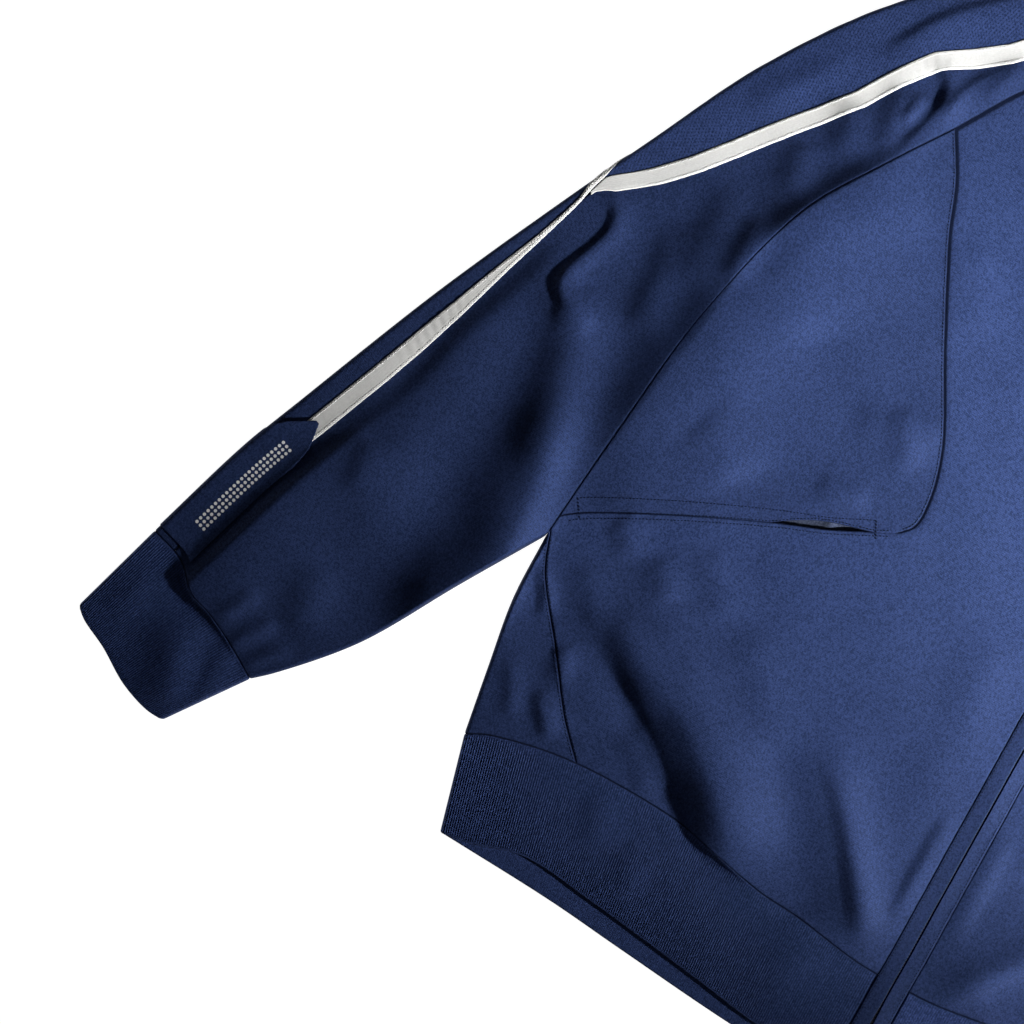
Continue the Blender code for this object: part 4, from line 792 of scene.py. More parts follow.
knitSettings = {
    "dark": (0.0100, 0.0172, 0.0510, 1), "light": (0.0270, 0.0450, 0.1270, 1),
    "roughness": 0.62, "specular": 0.35, "specularTint": (0.20, 0.35, 1.0, 1),
    "sheen": 0.06, "sheenRoughness": 0.4, "sheenTint": (0.35, 0.50, 1.0, 1),
    "grain": 1.3, "cloud": 26.0, "wale": 0.9, "course": 1.1, "grainShare": 1.4, "bump": 0.05,
    "slowShare": 0.3, "contrast": 2.3, "sparkle": 0.8,
    # painted shade in seams, rib valleys and on steep edges: its strength and colour; the colour
    # also darkens the mesh's holes
    "seamDark": 2.2, "seamColour": (0.0015, 0.0022, 0.006, 1), "pattern": None,
}


# Smooth polyester knit: fine grain and faint upright wales in the height. Its shade is the sum
# of the grain, a slow change from place to place and a spark of its own for each stitch
def knitFinish(name, **changes):
    knit = knitSettings | changes
    made, tree, shader = newMaterial(name, {
        "Specular IOR Level": knit["specular"], "Specular Tint": knit["specularTint"],
        "Sheen Weight": knit["sheen"], "Sheen Roughness": knit["sheenRoughness"],
        "Sheen Tint": knit["sheenTint"]})
    calc = functools.partial(mathNode, tree)
    places = addNode(tree, "ShaderNodeTexCoord").outputs
    grain = noiseOn(tree, places["Object"], 1 / (knit["grain"] * mm), 3.0, 0.7)
    slow = noiseOn(tree, places["Object"], 1 / (knit["cloud"] * mm), 3.0)
    flat = addNode(tree, "ShaderNodeSeparateXYZ", {0: places["UV"]}).outputs
    wale, course = (calc("SINE", calc("MULTIPLY", flat[k], 2 * math.pi / (knit[key] * mm)))
                    for k, key in ((0, "wale"), (1, "course")))
    weave = calc("MULTIPLY_ADD", wale, 0.5, calc("MULTIPLY", course, 0.25))
    bumpOn(tree, shader, calc("MULTIPLY_ADD", grain, knit["grainShare"], weave),
           knit["bump"] * mm)

    cells = addNode(tree, "ShaderNodeVectorMath", {0: places["UV"], 1: stitchCell},
                    operation="SNAP")
    spark = addNode(tree, "ShaderNodeTexWhiteNoise", {"Vector": cells.outputs[0]}).outputs["Value"]
    factor = [calc("MULTIPLY_ADD", value, knit[key], -0.5 * knit[key])
              for value, key in ((slow, "slowShare"), (spark, "sparkle"))]
    factor = calc("ADD", calc("ADD", *factor), 0.5 - 0.5 * knit["contrast"])
    factor = calc("MULTIPLY_ADD", grain, knit["contrast"], factor)
    factor = calc("MAXIMUM", calc("MINIMUM", factor, 1.0), 0.0)
    colour = mixColour(tree, factor, knit["dark"], knit["light"])

    u, w = (calc("DIVIDE", flat[k], mm) for k in (0, 1))
    if knit["pattern"] == "holes":
        dark = calc("MULTIPLY", dashes(calc, u, w), holes["share"])
        colour = mixColour(tree, dark, colour, knit["seamColour"])
    if knit["pattern"] == "dots":
        colour = mixColour(tree, dotBand(calc, u, w), colour, dots["colour"])
    if knit["pattern"] == "rib":
        # painted shade: the tape's middle between the stitch rows is mixed towards grey
        centre = calc("COMPARE", calc("ABSOLUTE", u), tapeMiddleShade["middle"], tapeMiddleShade["half"])
        centre = calc("MULTIPLY", centre, tapeMiddleShade["share"])
        colour = mixColour(tree, centre, colour, tapeMiddleShade["colour"])

    # painted shade: where the seam share marks a seam groove, a rib's valley or a steep edge, the
    # colour is mixed towards the shade colour and the cloth made duller
    edge = addNode(tree, "ShaderNodeAttribute", attribute_name="seam").outputs["Fac"]
    paintedShadeShare = calc("MINIMUM", calc("MULTIPLY", edge, knit["seamDark"]), 0.93)
    feed(shader.inputs["Base Color"], mixColour(tree, paintedShadeShare, colour, knit["seamColour"]))
    feed(shader.inputs["Roughness"],
         calc("MULTIPLY_ADD", paintedShadeShare, 1 - knit["roughness"], knit["roughness"]))
    return made


# The knit's two colours, each times this share
def shaded(share):
    return {key: (*(share * value for value in knitSettings[key][:3]), 1)
            for key in ("dark", "light")}


# Dark worn metal: one noise mixes its two greys and roughens it
def metalFinish(name):
    made, tree, shader = newMaterial(name, {"Metallic": 1.0, "Roughness": 0.34})
    places = addNode(tree, "ShaderNodeTexCoord").outputs["Object"]
    wear = noiseOn(tree, places, 900.0, 3.0)
    colour = mixColour(tree, wear, (0.16, 0.17, 0.19, 1), (0.30, 0.31, 0.33, 1))
    feed(shader.inputs["Base Color"], colour)
    bumpOn(tree, shader, wear, 0.02 * mm)
    return made


# Lit and shaded copies of the same knit, to paint the light and shade that falls on each panel:
# the chest, the sleeves and the zip covers darker, the mesh and the rib lighter
navyKnit = knitFinish("navyKnit")
shadedChestKnit = knitFinish("navyChestKnitShaded", **shaded(0.80))
shadedSleeveKnit = knitFinish("navySleeveKnitShaded", **shaded(0.74))
litMeshKnit = knitFinish("navyMeshKnitLit", **shaded(1.16), pattern="holes")
litRibKnit = knitFinish("navyRibLit", dark=(0.0200, 0.0340, 0.1000, 1), light=(0.0510, 0.0845, 0.2390, 1),
                     roughness=0.65, specular=0.3, seamDark=1.3)
patchKnit = knitFinish("patchKnit", **shaded(0.85), pattern="dots")
shadedCoverKnit = knitFinish("shadedCoverKnit", **shaded(0.8))
lining = knitFinish("pocketLining", dark=(0.020, 0.024, 0.036, 1), light=(0.048, 0.056, 0.078, 1))
whiteTape = knitFinish(
    "whiteTape", dark=(0.56, 0.557, 0.54, 1), light=(0.80, 0.797, 0.775, 1), roughness=0.55,
    specular=0.3, specularTint=(1, 1, 1, 1), sheen=0.0, wale=1.2, course=0.7, bump=0.04,
    grainShare=0.5, contrast=1.0, sparkle=0.2, seamDark=0.5, seamColour=(0.30, 0.30, 0.31, 1),
    pattern="rib")
threadFinish = knitFinish("navyThread", **shaded(0.22), roughness=0.7, specular=0.1)
tapeThread = knitFinish("whiteThread", dark=(0.55, 0.55, 0.54, 1), light=(0.75, 0.75, 0.73, 1),
                        specularTint=(1, 1, 1, 1), sheen=0.0)
darkMetal = metalFinish("darkMetal")
print("finishes made")


# Pieces of one half. What a piece's settings leave out is as here

clothDefaults = {"finish": navyKnit, "slot": "knit", "area": None, "restsOn": "floor",
                 "node": None, "low": -cloth["wall"], "high": 0.0, "trim": cloth["seamGap"] / 2}

pocketOnRaglan = shareNear(line["raglan"], seams["pocket"][0])
yokeOnRaglan = shareNear(line["raglan"], seams["yoke"][-1])
hemAtSide = shareNear(line["hem"], seams["sideFront"][0])
hemAtBack = shareAtOut(line["hem"], seams["sideBack"][0][0])
hemAtZip = shareAtOut(line["hem"], zipLine["coverWidth"])
neckAtZip = shareAtOut(line["neckFront"], zipLine["coverWidth"])
neckAtZipUp = at(line["neckFront"], neckAtZip)[1]
pocketCorner = seams["pocket"][-1]
zipCorner = (zipLine["coverWidth"], 243.0)
tipGap = 5.0              # the front and the back start this far up the raglan seam


# A curve of one step
def straight(start, end):
    return even(np.array([start, end], float))


# Two grids: below the pocket, from the hem seam to the pocket seam and on to the zip, and above
# it, between the yoke seam and the zip up to the neck
def frontGrids(side):
    step = pitch[side]["panel"]
    raglanStart = shareOf("raglan", tipGap)
    raglanFoot = stretch(line["raglan"], raglanStart, pocketOnRaglan, 8)
    left = chained(line["sideFront"][1][:-1], raglanFoot)
    across = straight(pocketCorner, zipCorner)
    top = chained(line["pocket"][1], across[1])
    bottom = chained(stretch(line["hem"], hemAtSide, hemAtZip))
    right = straight(at(line["hem"], hemAtZip), zipCorner)
    corner = lengthOf(line["pocket"]) / lengthOf(top)
    u = stations(lengthOf(bottom), step, keep=[corner])
    v = stations(lengthOf(right), step, keep=[lengthOf(line["sideFront"]) / lengthOf(left)])
    lower = block(side, filled(bottom, top, left, right, u, v), 1, "left bottom")
    # the pocket seam ends at the corner, so the rest of that edge isn't pinched
    addPinch(lower, "top", share=np.clip((corner - u) * lengthOf(top) / frontForm["fade"], 0, 1))

    left = chained(line["yoke"][1], stretch(line["raglan"], yokeOnRaglan, 1))
    neck = chained(stretch(line["neckFront"], 1, neckAtZip))
    right = straight(zipCorner, at(line["neckFront"], neckAtZip))
    share = u[u >= corner - 1e-9]
    share = (share - share[0]) / (1 - share[0])
    v = stations(lengthOf(right), step, (False, True), [lengthOf(line["yoke"]) / lengthOf(left)])
    upper = block(side, filled(across, neck, left, right, share, v), 1, "top")
    addPinch(upper, "left", share=np.clip(v * lengthOf(left) / frontForm["fade"], 0, 1)[:, None])
    for grid in (lower, upper):
        addPinch(grid, "right", frontForm["zipRoll"])
    return [lower, upper]


frontForm = {"fade": 0.8, "zipRoll": 0.3}
frontPiece = {"grids": frontGrids, "flat": (0.315, 0.575), "area": 0.110, "restsOn": "back_cloth"}
pocketMouth = {"start": 0.62, "end": 0.945, "open": 5.0}


# How far the lip stands off the pocket seam: a half sine over the mouth
def pocketLens(share):
    start, end = pocketMouth["start"], pocketMouth["end"]
    within = np.clip((share - start) / (end - start), 0, 1)
    return pocketMouth["open"] * np.sin(math.pi * within)**1.3


# Between the pocket seam, the raglan and the yoke seam; a lens is left open at the pocket mouth
def chestGrids(side):
    share = np.linspace(0, 1, 161)
    lip = at(line["pocket"], share) - leftOf(line["pocket"], share) * pocketLens(share)[:, None]
    bottom = even(lip)
    split = pocketOnRaglan + (yokeOnRaglan - pocketOnRaglan) * 5 / 12
    left = chained(stretch(line["raglan"], pocketOnRaglan, split))
    top = chained(stretch(line["raglan"], split, yokeOnRaglan))
    step = pitch[side]["panel"]
    u = stations(lengthOf(bottom), step, keep=[pocketMouth["start"], pocketMouth["end"]])
    v = stations(lengthOf(line["yoke"]), step)
    return [block(side, filled(bottom, top, left, line["yoke"], u, v), 1)]


chestPiece = {"grids": chestGrids, "finish": shadedChestKnit, "flat": (0.215, 0.30), "area": 0.033,
              "restsOn": "back_cloth"}
sleeveShares = np.linspace(0, 1, 161)


# The sleeve's edge down the raglan seam and on inside the lower fold: its first point, the
# whole edge, and the share at the underarm
def underarmEdge(raglan):
    radius = cloth["foldRadius"]
    seam = stretch(line[raglan], 1, shareOf(raglan, radius), 160)
    edge = chained(seam, underarmPlan(sleeveShares, radius, raglan))
    return seam[:1], edge, stepsOf(seam).sum() / lengthOf(edge)


# Grid over half of the lower fold, for the places v that lie past the underarm
def turnGrid(v, underarm, raglan, depths):
    share = (v[v >= underarm - 1e-9] - underarm) / (1 - underarm)
    return np.stack([underarmPlan(share, depth, raglan) for depth in depths], 1)


# Share of the cuff's seam at a point, from its distance to the seam's upper end
def cuffShareAt(point):
    return 1 - shareOf("cuff", np.linalg.norm(np.subtract(point, cuffHigh)))


# From the front tape seam down to the underarm fold, as rungs between the tape seam and the line
# that goes down the raglan seam and on along the fold; a second grid turns over the fold
def sleeveFrontGrids(side):
    step = pitch[side]["panel"]
    seam = sleevePlan(sleeveShares, tapeDepths(sleeveShares)[:, :2].mean(1))[0]
    start, left, underarm = underarmEdge("raglan")
    cuffStart = shareOf("cuff", cloth["foldRadius"])
    top = chained(stretch(line["cuff"], cuffStart, cuffShareAt(seam[-1])))
    bottom = chained(start, seam[:1])
    v = stations(lengthOf(line["top"]), 1.2 * step, keep=[underarm])
    u = stations(sleeve["width"], 1.15 * step)
    plan = filled(bottom, top, left, (sleeveShares, seam), u, v)
    fold = turnGrid(v, underarm, "raglan", foldDepths)
    fold[:, -1] = plan[v >= underarm - 1e-9, 0]
    face = block(side, plan, 1, "right bottom top")
    addPinch(face, "left", share=(v < underarm)[:, None])
    return [face, block(side, fold, 1, "bottom top")]


sleeveFrontPiece = {"grids": sleeveFrontGrids, "finish": shadedSleeveKnit, "flat": (0.30, 0.62),
                    "area": 0.060, "restsOn": "sleeve_back_{}_cloth"}


# How far over the top fold the sleeve's upper grid goes behind
def lowest(along):
    past = np.interp(along, [0, sleeve["neckEnd"], 1], [14.1, 8, 8])
    return np.minimum(-quarter, tapeDepths(along)[..., 2:].mean(-1) - past)


# From the back tape seam, over the top fold below the elbow, and down to the raglan and the
# underarm behind
def sleeveBackGrids(side):
    edge = sleevePlan(sleeveShares, lowest(sleeveShares))[0]
    start, right, underarm = underarmEdge("raglanBack")
    v = stations(lengthOf(line["top"]), pitch["under"], keep=[underarm])
    over = np.linspace(tapeDepths(v)[:, 2:].mean(1), lowest(v), 17, axis=1)
    upper, layer = sleevePlan(v[:, None], over)
    cuffStart = shareOf("cuff", cloth["foldRadius"])
    top = chained(stretch(line["cuff"], cuffShareAt(edge[-1]), cuffStart))
    bottom = chained(edge[:1], start)
    u = stations(sleeve["width"], pitch["under"], (False, True))
    plan = filled(bottom, top, (sleeveShares, edge), right, u, v)
    plan[:, 0] = upper[:, -1]
    fold = turnGrid(v, underarm, "raglanBack", foldDepths[::-1])
    fold[:, 0] = plan[v >= underarm - 1e-9, -1]
    return [block(side, upper, layer, "left bottom top"), block(side, plan, -1, "bottom top"),
            block(side, fold, -1, "bottom top")]


sleeveBackPiece = {"grids": sleeveBackGrids, "finish": shadedSleeveKnit, "flat": (0.34, 0.62),
                   "area": 0.074}


# Grid along the sleeve, at each place from one distance over the cloth to another
def stripGrid(side, along, start, end, share, origin=0.0, radius=cloth["seamRoll"]):
    over = start[:, None] + (end - start)[:, None] * share
    plan, layer = sleevePlan(along[:, None], over)
    uv = np.broadcast_arrays(over - origin, along[:, None] * lengthOf(line["top"]))
    return block(side, plan, layer, uv=np.stack(uv, -1), radius=radius), over


# Places along the sleeve between two shares of the top fold, about one pitch apart
def alongSleeve(side, kind, start, end, keep=()):
    length = lengthOf(line["top"]) * (end - start)
    return start + (end - start) * stations(length, pitch[side][kind], keep=keep)


# Over the shoulder between the two tape seams, narrowing to the elbow
def saddleGrids(side):
    v = alongSleeve(side, "saddle", 0, tape["saddleTip"])
    depths = tapeDepths(v)
    return [stripGrid(side, v, depths[:, :2].mean(1), depths[:, 2:].mean(1),
                      np.linspace(0, 1, 45))[0]]


saddlePiece = {"grids": saddleGrids, "finish": litMeshKnit, "slot": "mesh_knit", "flat": (0.115, 0.47),
               "area": 0.027, "restsOn": "sleeve_back_{}_cloth", "trim": 0.6}


# From one seam of the side panel to the side fold, as rows up the side; the lowest row lies on
# the hem seam's curve
def sidePlan(seam, hemShare, raglan, v, flat):
    radius = cloth["foldRadius"]
    seamPoints, foldPoints = at(line[seam], v), at(line["side"], v)
    seamPoints[-1] = at(line[raglan], shareOf(raglan, tipGap))
    aim = unit(seamPoints - foldPoints)
    near = foldPoints[:, None] + aim[:, None] * foldDepths[None, :-1, None]
    start = foldPoints + aim * radius
    wide = start[:, None] + (seamPoints - start)[:, None] * flat[None, :, None]
    plan = np.concatenate([near, wide], 1)
    turned = shareOf("hem", radius)
    onHem = np.r_[1 - shareOf("hem", foldDepths[:-1]), 1 - turned + (hemShare - 1 + turned) * flat]
    blend = np.clip(1 - v / 0.05, 0, 1)[:, None, None]
    return plan + blend * (at(line["hem"], onHem) - plan[:1])


# Front half and back half of the side panel, joined at the side fold
def sidePanelGrids(side):
    step = pitch[side]["panel"]
    v = stations(lengthOf(line["side"]), step)
    flat = stations(55, step, (False, True))
    ahead = sidePlan("sideFront", hemAtSide, "raglan", v, flat)
    behind = sidePlan("sideBack", hemAtBack, "raglanBack", v, flat)
    plan = np.concatenate([ahead[:, ::-1], behind[:, 1:]], axis=1)
    layer = np.r_[np.ones(ahead.shape[1]), -np.ones(behind.shape[1] - 1)]
    return [block(side, plan, np.broadcast_to(layer, plan.shape[:2]))]


sidePanelPiece = {"grids": sidePanelGrids, "flat": (0.13, 0.145), "area": 0.008}


# Whole back, hem seam to neck, as its two mirrored halves
def backGrids(side):
    raglan = stretch(line["raglanBack"], shareOf("raglanBack", tipGap), 1, 120)
    sideSeam = line["sideBack"][1].copy()
    sideSeam[-1] = raglan[0]
    sideSeam[0] = at(line["hem"], hemAtBack)
    left = chained(sideSeam, raglan[1:])
    bottom = chained(stretch(line["hem"], hemAtBack, 0))
    top = chained(line["neckBack"][1][::-1])
    right = straight(bottom[1][-1], top[1][-1])
    share = lengthOf(line["sideBack"]) / lengthOf(left)
    u = stations(lengthOf(bottom), pitch["under"], (True, False))
    v = stations(lengthOf(left), pitch["under"], keep=[share])
    plan = filled(bottom, top, left, right, u, v)
    return [block(side, plan, -1, "left bottom top") for side in (-1, 1)]


backPiece = {"grids": backGrids, "flat": (0.60, 0.64), "area": 0.295}


# Rib

ribForm = {"pitch": 1.5, "depth": 0.40, "samples": 3, "edgeRadius": 0.9, "foldReach": 2.6,
           "farShare": 0.6, "seamReach": 1.2, "seamShare": 0.35}


# The runs of a curve up to the side fold at its end, and over that fold
def runsToFold(name, start, steps):
    share = shareOf(name, cloth["foldRadius"])
    return [stretch(line[name], start, 1 - share, steps),
            at(line[name], 1 - shareOf(name, foldDepths[::-1]))]


# The parts of a band: the runs of seam and free edge in front, then those behind backwards
def bandParts(front, back):
    return ([(seam, free, 1) for seam, free in zip(*front)]
            + [(seam[::-1], free[::-1], -1) for seam, free in zip(*back)][::-1])


# Closed curve of one layer after another round a tube or neck: the seam's points, the free
# edge's points, the layer, and the place in ribs along the seam. Each rib has three columns
# where it is seen from near and two elsewhere
def bandColumns(parts, side):
    found, done = [], 0.0
    for seam, free, layer in parts:
        seam, free = chained(seam), chained(free)
        samples = ribForm["samples"] if layer > 0 and side < 0 else 2
        count = samples * max(1, round(lengthOf(seam) / (ribForm["pitch"] * coarse)))
        share = np.linspace(0, 1, count + 1)
        first = 1 if found else 0
        found.append([at(seam, share)[first:], at(free, share)[first:],
                      np.full(count + 1 - first, layer),
                      done + np.arange(first, count + 1) / samples])
        done += count / samples
    return [np.concatenate(columns) for columns in zip(*found)]


# Band between its seam and its free edge, with ribs across its whole length: each rib is a
# raised sine, less deep at the seam and the edge
def bandGrids(side, parts, rows, edges):
    seamPoints, freePoints, layer, ribs = bandColumns(parts, side)
    height = np.linalg.norm(seamPoints - freePoints, axis=1).mean()
    v = stations(height, height / rows)
    plan = seamPoints[None] + (freePoints - seamPoints)[None] * v[:, None, None]
    layer = np.broadcast_to(layer, plan.shape[:2])
    folded = np.exp(-((v * height)[:, None] / ribForm["foldReach"])**2)
    made = block(side, plan, layer, edges, radius=ribForm["edgeRadius"], fade=folded)
    wave = 0.5 - 0.5 * np.cos(2 * math.pi * ribs)
    wave = wave * np.where((layer > 0) & (side < 0), 1.0, ribForm["farShare"])
    fade = np.minimum(v, 1 - v) * height / ribForm["seamReach"]
    fade = np.clip(fade, ribForm["seamShare"], 1)[:, None]
    # the ribs' pinch also sets the seam share, which paints shade in their valleys
    made["pinch"] = np.maximum(made["pinch"], ribForm["depth"] * wave * fade)
    return [made]


# From the zip round the side fold to the middle behind
def hemGrids(side):
    front = [runsToFold(name, hemAtZip, 160) for name in ("hem", "hemFrontEdge")]
    free = front[1][0]
    free[:, 0] = np.maximum(free[:, 0], zipLine["coverWidth"])
    free[0, 0] = zipLine["coverWidth"]
    back = [runsToFold(name, 0, 160) for name in ("hem", "hemBackEdge")]
    return bandGrids(side, bandParts(front, back), 9, "left bottom top")


# Over one fold of the sleeve, along its width and over the other, in front as behind
def cuffRuns(name):
    share, turn = shareOf(name, cloth["foldRadius"]), shareOf(name, foldDepths)
    return [at(line[name], turn), stretch(line[name], share, 1 - share),
            at(line[name], 1 - turn[::-1])]


# Tube from the cuff's seam to its free edge, the same in front as behind
def cuffGrids(side):
    runs = [cuffRuns(name) for name in ("cuff", "cuffEnd")]
    return bandGrids(side, bandParts(runs, runs), 9, "bottom top")


# Over the fold the collar's seam goes straight from one neck seam to the other
def collarGrids(side):
    toFold = at(straight(sideNeck, raglanNeck), cloth["foldRadius"] / 32)
    turns = [sideNeck + toward(sideNeck, end) * foldDepths[::-1, None]
             for end in (raglanNeck, backNeck)]
    frontSeam = np.vstack([stretch(line["neckFront"], neckAtZip, 1, 100), toFold])
    backSeam = np.vstack([line["neckBack"][1], turns[1][:1]])
    free = runsToFold("collarFrontEdge", neckAtZip, 100)
    free[0][0, 0] = zipLine["coverWidth"]
    parts = bandParts([[frontSeam, turns[0]], free],
                      [[backSeam, turns[1]], runsToFold("collarBackEdge", 0, 100)])
    return bandGrids(side, parts, 8, "left bottom top")


ribPiece = {"finish": litRibKnit, "slot": "rib", "low": -cloth["ribWall"]}
hemPiece = ribPiece | {"grids": hemGrids, "node": "hem_rib", "flat": (0.61, 0.072)}
cuffPiece = ribPiece | {"grids": cuffGrids, "flat": (0.21, 0.07)}
collarPiece = ribPiece | {"grids": collarGrids, "node": "collar", "flat": (0.24, 0.085),
                          "area": 0.0148, "restsOn": "back_cloth", "trim": 0.0}


# Trims

# Grid of a tape, puckered between its two rows of stitching: short waves along it that come
# and go, times a half sine across it
def tapeGrids(side, end, edgesOf):
    v = alongSleeve(side, "strip", 0, end)
    share = stations(tape["width"], 1.0)
    start, last = edgesOf(tapeDepths(v).T)
    made = stripGrid(side, v, start, last, share, start[:, None], tape["roll"])[0]
    across, along = np.abs(made["uv"][..., 0]) / tape["width"], made["uv"][..., 1]
    come = np.maximum(np.sin(along / 29 + 0.6) * np.sin(along / 47 + 2.0) + 0.35, 0)
    wave = 0.5 + 0.5 * np.sin(along / 1.15 + 1.5 * np.sin(along / 13) + 2.2 * across)
    pucker = tape["pucker"] * come * wave * np.sin(math.pi * np.clip(across, 0, 1))
    made["points"][..., 2] += pucker * made["layer"]
    return [made]


# The front tape ends under the back tape, a little apart from its edge
def tapeFrontGrids(side):
    return tapeGrids(side, tape["frontEnd"],
                     lambda edges: (edges[1], np.maximum(edges[0], edges[3] + tape["apart"])))


# The back tape runs between its own two edges
def tapeBackGrids(side):
    return tapeGrids(side, tape["backEnd"], lambda edges: (edges[3], edges[2]))


bothTapes = {"finish": whiteTape, "slot": "tape", "low": cloth["lift"],
             "high": cloth["lift"] + cloth["tapeWall"]}
tapeFrontPiece = bothTapes | {"grids": tapeFrontGrids, "flat": (0.0125, 0.43),
                              "restsOn": "sleeve_front_{}_cloth"}
tapeBackPiece = bothTapes | {"grids": tapeBackGrids, "flat": (0.0125, 0.66),
                             "restsOn": "sleeve_back_{}_cloth"}


# The patch between its two edges, lifted off by its clearance, which eases over the fold
def patchGrids(side):
    start, end = patchRows[0, 0], patchRows[-1, 0]
    v = alongSleeve(side, "strip", start, end, (patchRows[:, 0] - start) / (end - start))
    low, high, clearance = tableAt(patchRows, v).T
    share = np.unique(np.r_[np.linspace(0, 1, 22), 0.012, 0.03, 0.97, 0.988])
    made, over = stripGrid(side, v, low, high, share, radius=tape["roll"])
    made["points"][..., 2] += clearance[:, None] * np.clip(over / quarter, 0.4, 1)
    return [made]


patchPiece = {"grids": patchGrids, "finish": patchKnit, "flat": (0.031, 0.10),
              "restsOn": "sleeve_front_{}_cloth", "low": 0.0, "high": cloth["tapeWall"]}


# The two covers lean on the coil, so they rise to the parting, which opens near the hem
def coverGrids(side):
    foot = seams["hemFrontEdge"][0][1]
    reach = 0.5 * (neckAtZipUp + seams["collarFrontEdge"][0][1]) - foot
    up = foot + reach * stations(reach, pitch[side]["cover"])
    opened = np.clip((zipLine["openFrom"] - up) / zipLine["openOver"], 0, 1)
    parting = zipLine["parting"] + (zipLine["partingAtHem"] - zipLine["parting"]) * opened
    u = stations(10, 1.0)
    out = parting[:, None] + (zipLine["coverWidth"] - parting)[:, None] * u
    made = block(side, np.stack(np.broadcast_arrays(out, up[:, None]), -1), 1, radius=tape["roll"])
    made["points"][..., 2] += zipLine["ridge"] * (1 - u)
    return [made]


coverPiece = {"grids": coverGrids, "finish": shadedCoverKnit, "flat": (0.0105, 0.67),
              "restsOn": "zip_tape", "low": zipLine["coverRaised"] - cloth["coverWall"],
              "high": zipLine["coverRaised"], "trim": 0.15}
bag = {"start": 0.42, "end": 0.97, "below": -9.0, "above": 16.0, "depth": 3.1, "wall": 0.7,
       "creaseAt": 0.80, "creaseHeight": 1.25}


# The bag lies low, with one crease that comes up to the light
def facingGrids(side):
    share = np.linspace(bag["start"], bag["end"], 60)
    across = np.linspace(bag["below"], bag["above"], 20)
    plan = (at(line["pocket"], share)[:, None]
            + leftOf(line["pocket"], share)[:, None] * across[None, :, None])
    made = block(side, plan, 1)
    along = (share - bag["creaseAt"]) * lengthOf(line["pocket"])
    crease = np.exp(-((along[:, None] + 0.5 * across) / 4.0)**2 - ((across + 3.5) / 4.5)**2)
    made["points"][..., 2] += bag["creaseHeight"] * crease
    return [made]


facingPiece = {"grids": facingGrids, "finish": lining, "slot": "pocket_lining",
               "flat": (0.112, 0.025), "restsOn": "back_cloth",
               "low": -bag["depth"] - bag["wall"], "high": -bag["depth"]}
thread = {"pitch": 2.1, "length": 1.35, "radius": 0.31, "sunk": 0.05, "waist": 0.55,
          "aim": 0.4, "lift": 0.25}


# One stitch: a square tube with pointed ends, its points as (along, across, up)
def stitchForm():
    radius, half = thread["radius"], thread["length"] / 2
    ring = [(x * radius, y * radius) for x, y in ((1, 0), (0, 1), (-1, 0), (0, -1))]
    points = [(-half, 0, 0), *((d * half, x, y) for d in (-thread["waist"], thread["waist"])
                               for x, y in ring), (half, 0, 0)]
    after = [(k, (k + 1) % 4) for k in range(4)]
    faces = ([(0, 1 + k, 1 + n, 1 + n) for k, n in after]
             + [(1 + k, 5 + k, 5 + n, 1 + n) for k, n in after]
             + [(9, 5 + n, 5 + k, 5 + k) for k, n in after])
    return np.array(points), faces


# Rows of stitches as one mesh, each along its row and half sunk in the cloth
def stitched(name, paths, finish):
    places, tangents, normals = [], [], []
    for points, normal in paths:
        along = np.r_[0, np.cumsum(stepsOf(points))]
        count = max(1, round(along[-1] / thread["pitch"]))
        spots = (np.arange(count) + 0.5) * along[-1] / count
        behind, ahead, normal = (
            np.stack([np.interp(spots + d, along, values[:, k]) for k in range(3)], -1)
            for values, d in ((points, -thread["aim"]), (points, thread["aim"]), (normal, 0)))
        places.append((behind + ahead) / 2)
        tangents.append(unit(ahead - behind))
        normals.append(unit(normal))
    place, tangent, normal = (np.vstack(part)[:, None] for part in (places, tangents, normals))
    form, faces = stitchForm()
    sunk = np.abs(form[:, :1]) > 0.9 * thread["length"] / 2
    up = form[:, 2:] + thread["radius"] * thread["lift"] - thread["sunk"] * sunk
    across = np.cross(tangent, normal)
    points = place + tangent * form[:, :1] + across * form[:, 1:2] + normal * up
    points[..., 1] -= middle
    faces = repeatedFaces(faces, len(form), len(place))
    onGarment(makeObject(name, points.reshape(-1, 3), faces, finish))


# Points lifted off the surface along its outward normals, from the points themselves and their
# four neighbours
def liftedOff(spots, hand, lift):
    normal = unit(np.cross(spots[1] - spots[2], spots[3] - spots[4]) * hand)
    return spots[0] + normal * lift, normal


# Lifted points over places in the plan, with neighbours half a millimetre away
def overPlan(side, plan, lift=0.0):
    moves = ((0, 0), (0.5, 0), (-0.5, 0), (0, 0.5), (0, -0.5))
    return liftedOff([surface(side, np.add(plan, move), 1) for move in moves], side, lift)


# The same over the sleeve, at a distance over the cloth from the top fold
def overSleeve(side, along, over, lift):
    moves = ((0, 0), (5e-4, 0), (-5e-4, 0), (0, 0.3), (0, -0.3))
    return liftedOff([surface(side, *sleevePlan(along + a, over + o)) for a, o in moves],
                     -side, lift)


# Points at a distance, or from one distance to another, on the left of a line
def beside(curve, away, start=0.0, end=1.0):
    share = np.linspace(start, end, 240)
    away = np.interp(share, [start, end], away) if isinstance(away, tuple) else away
    return at(curve, share) + leftOf(curve, share) * np.reshape(away, (-1, 1))


# Rows of topstitching: line, distance from it, start and end
topstitches = [
    ("pocket", 1.7, 0.02, 0.985), ("pocket", -1.7, 0.02, pocketMouth["start"]),
    ("pocket", -1.7, pocketMouth["end"], 0.985), ("pocket", (-11.0, -7.5), 0.05, 0.945),
    ("yoke", -1.3, 0.02, 0.99), ("raglan", -1.4, 0.74, 0.985), ("raglan", 1.4, 0.74, 0.985),
    ("sideFront", 1.2, 0.02, 0.96), ("sideFront", -1.2, 0.02, 0.96),
]
barTacks = [(0.055, -11.5, 1.5), (0.945, -8.0, 4.0)]       # across the pocket line's ends


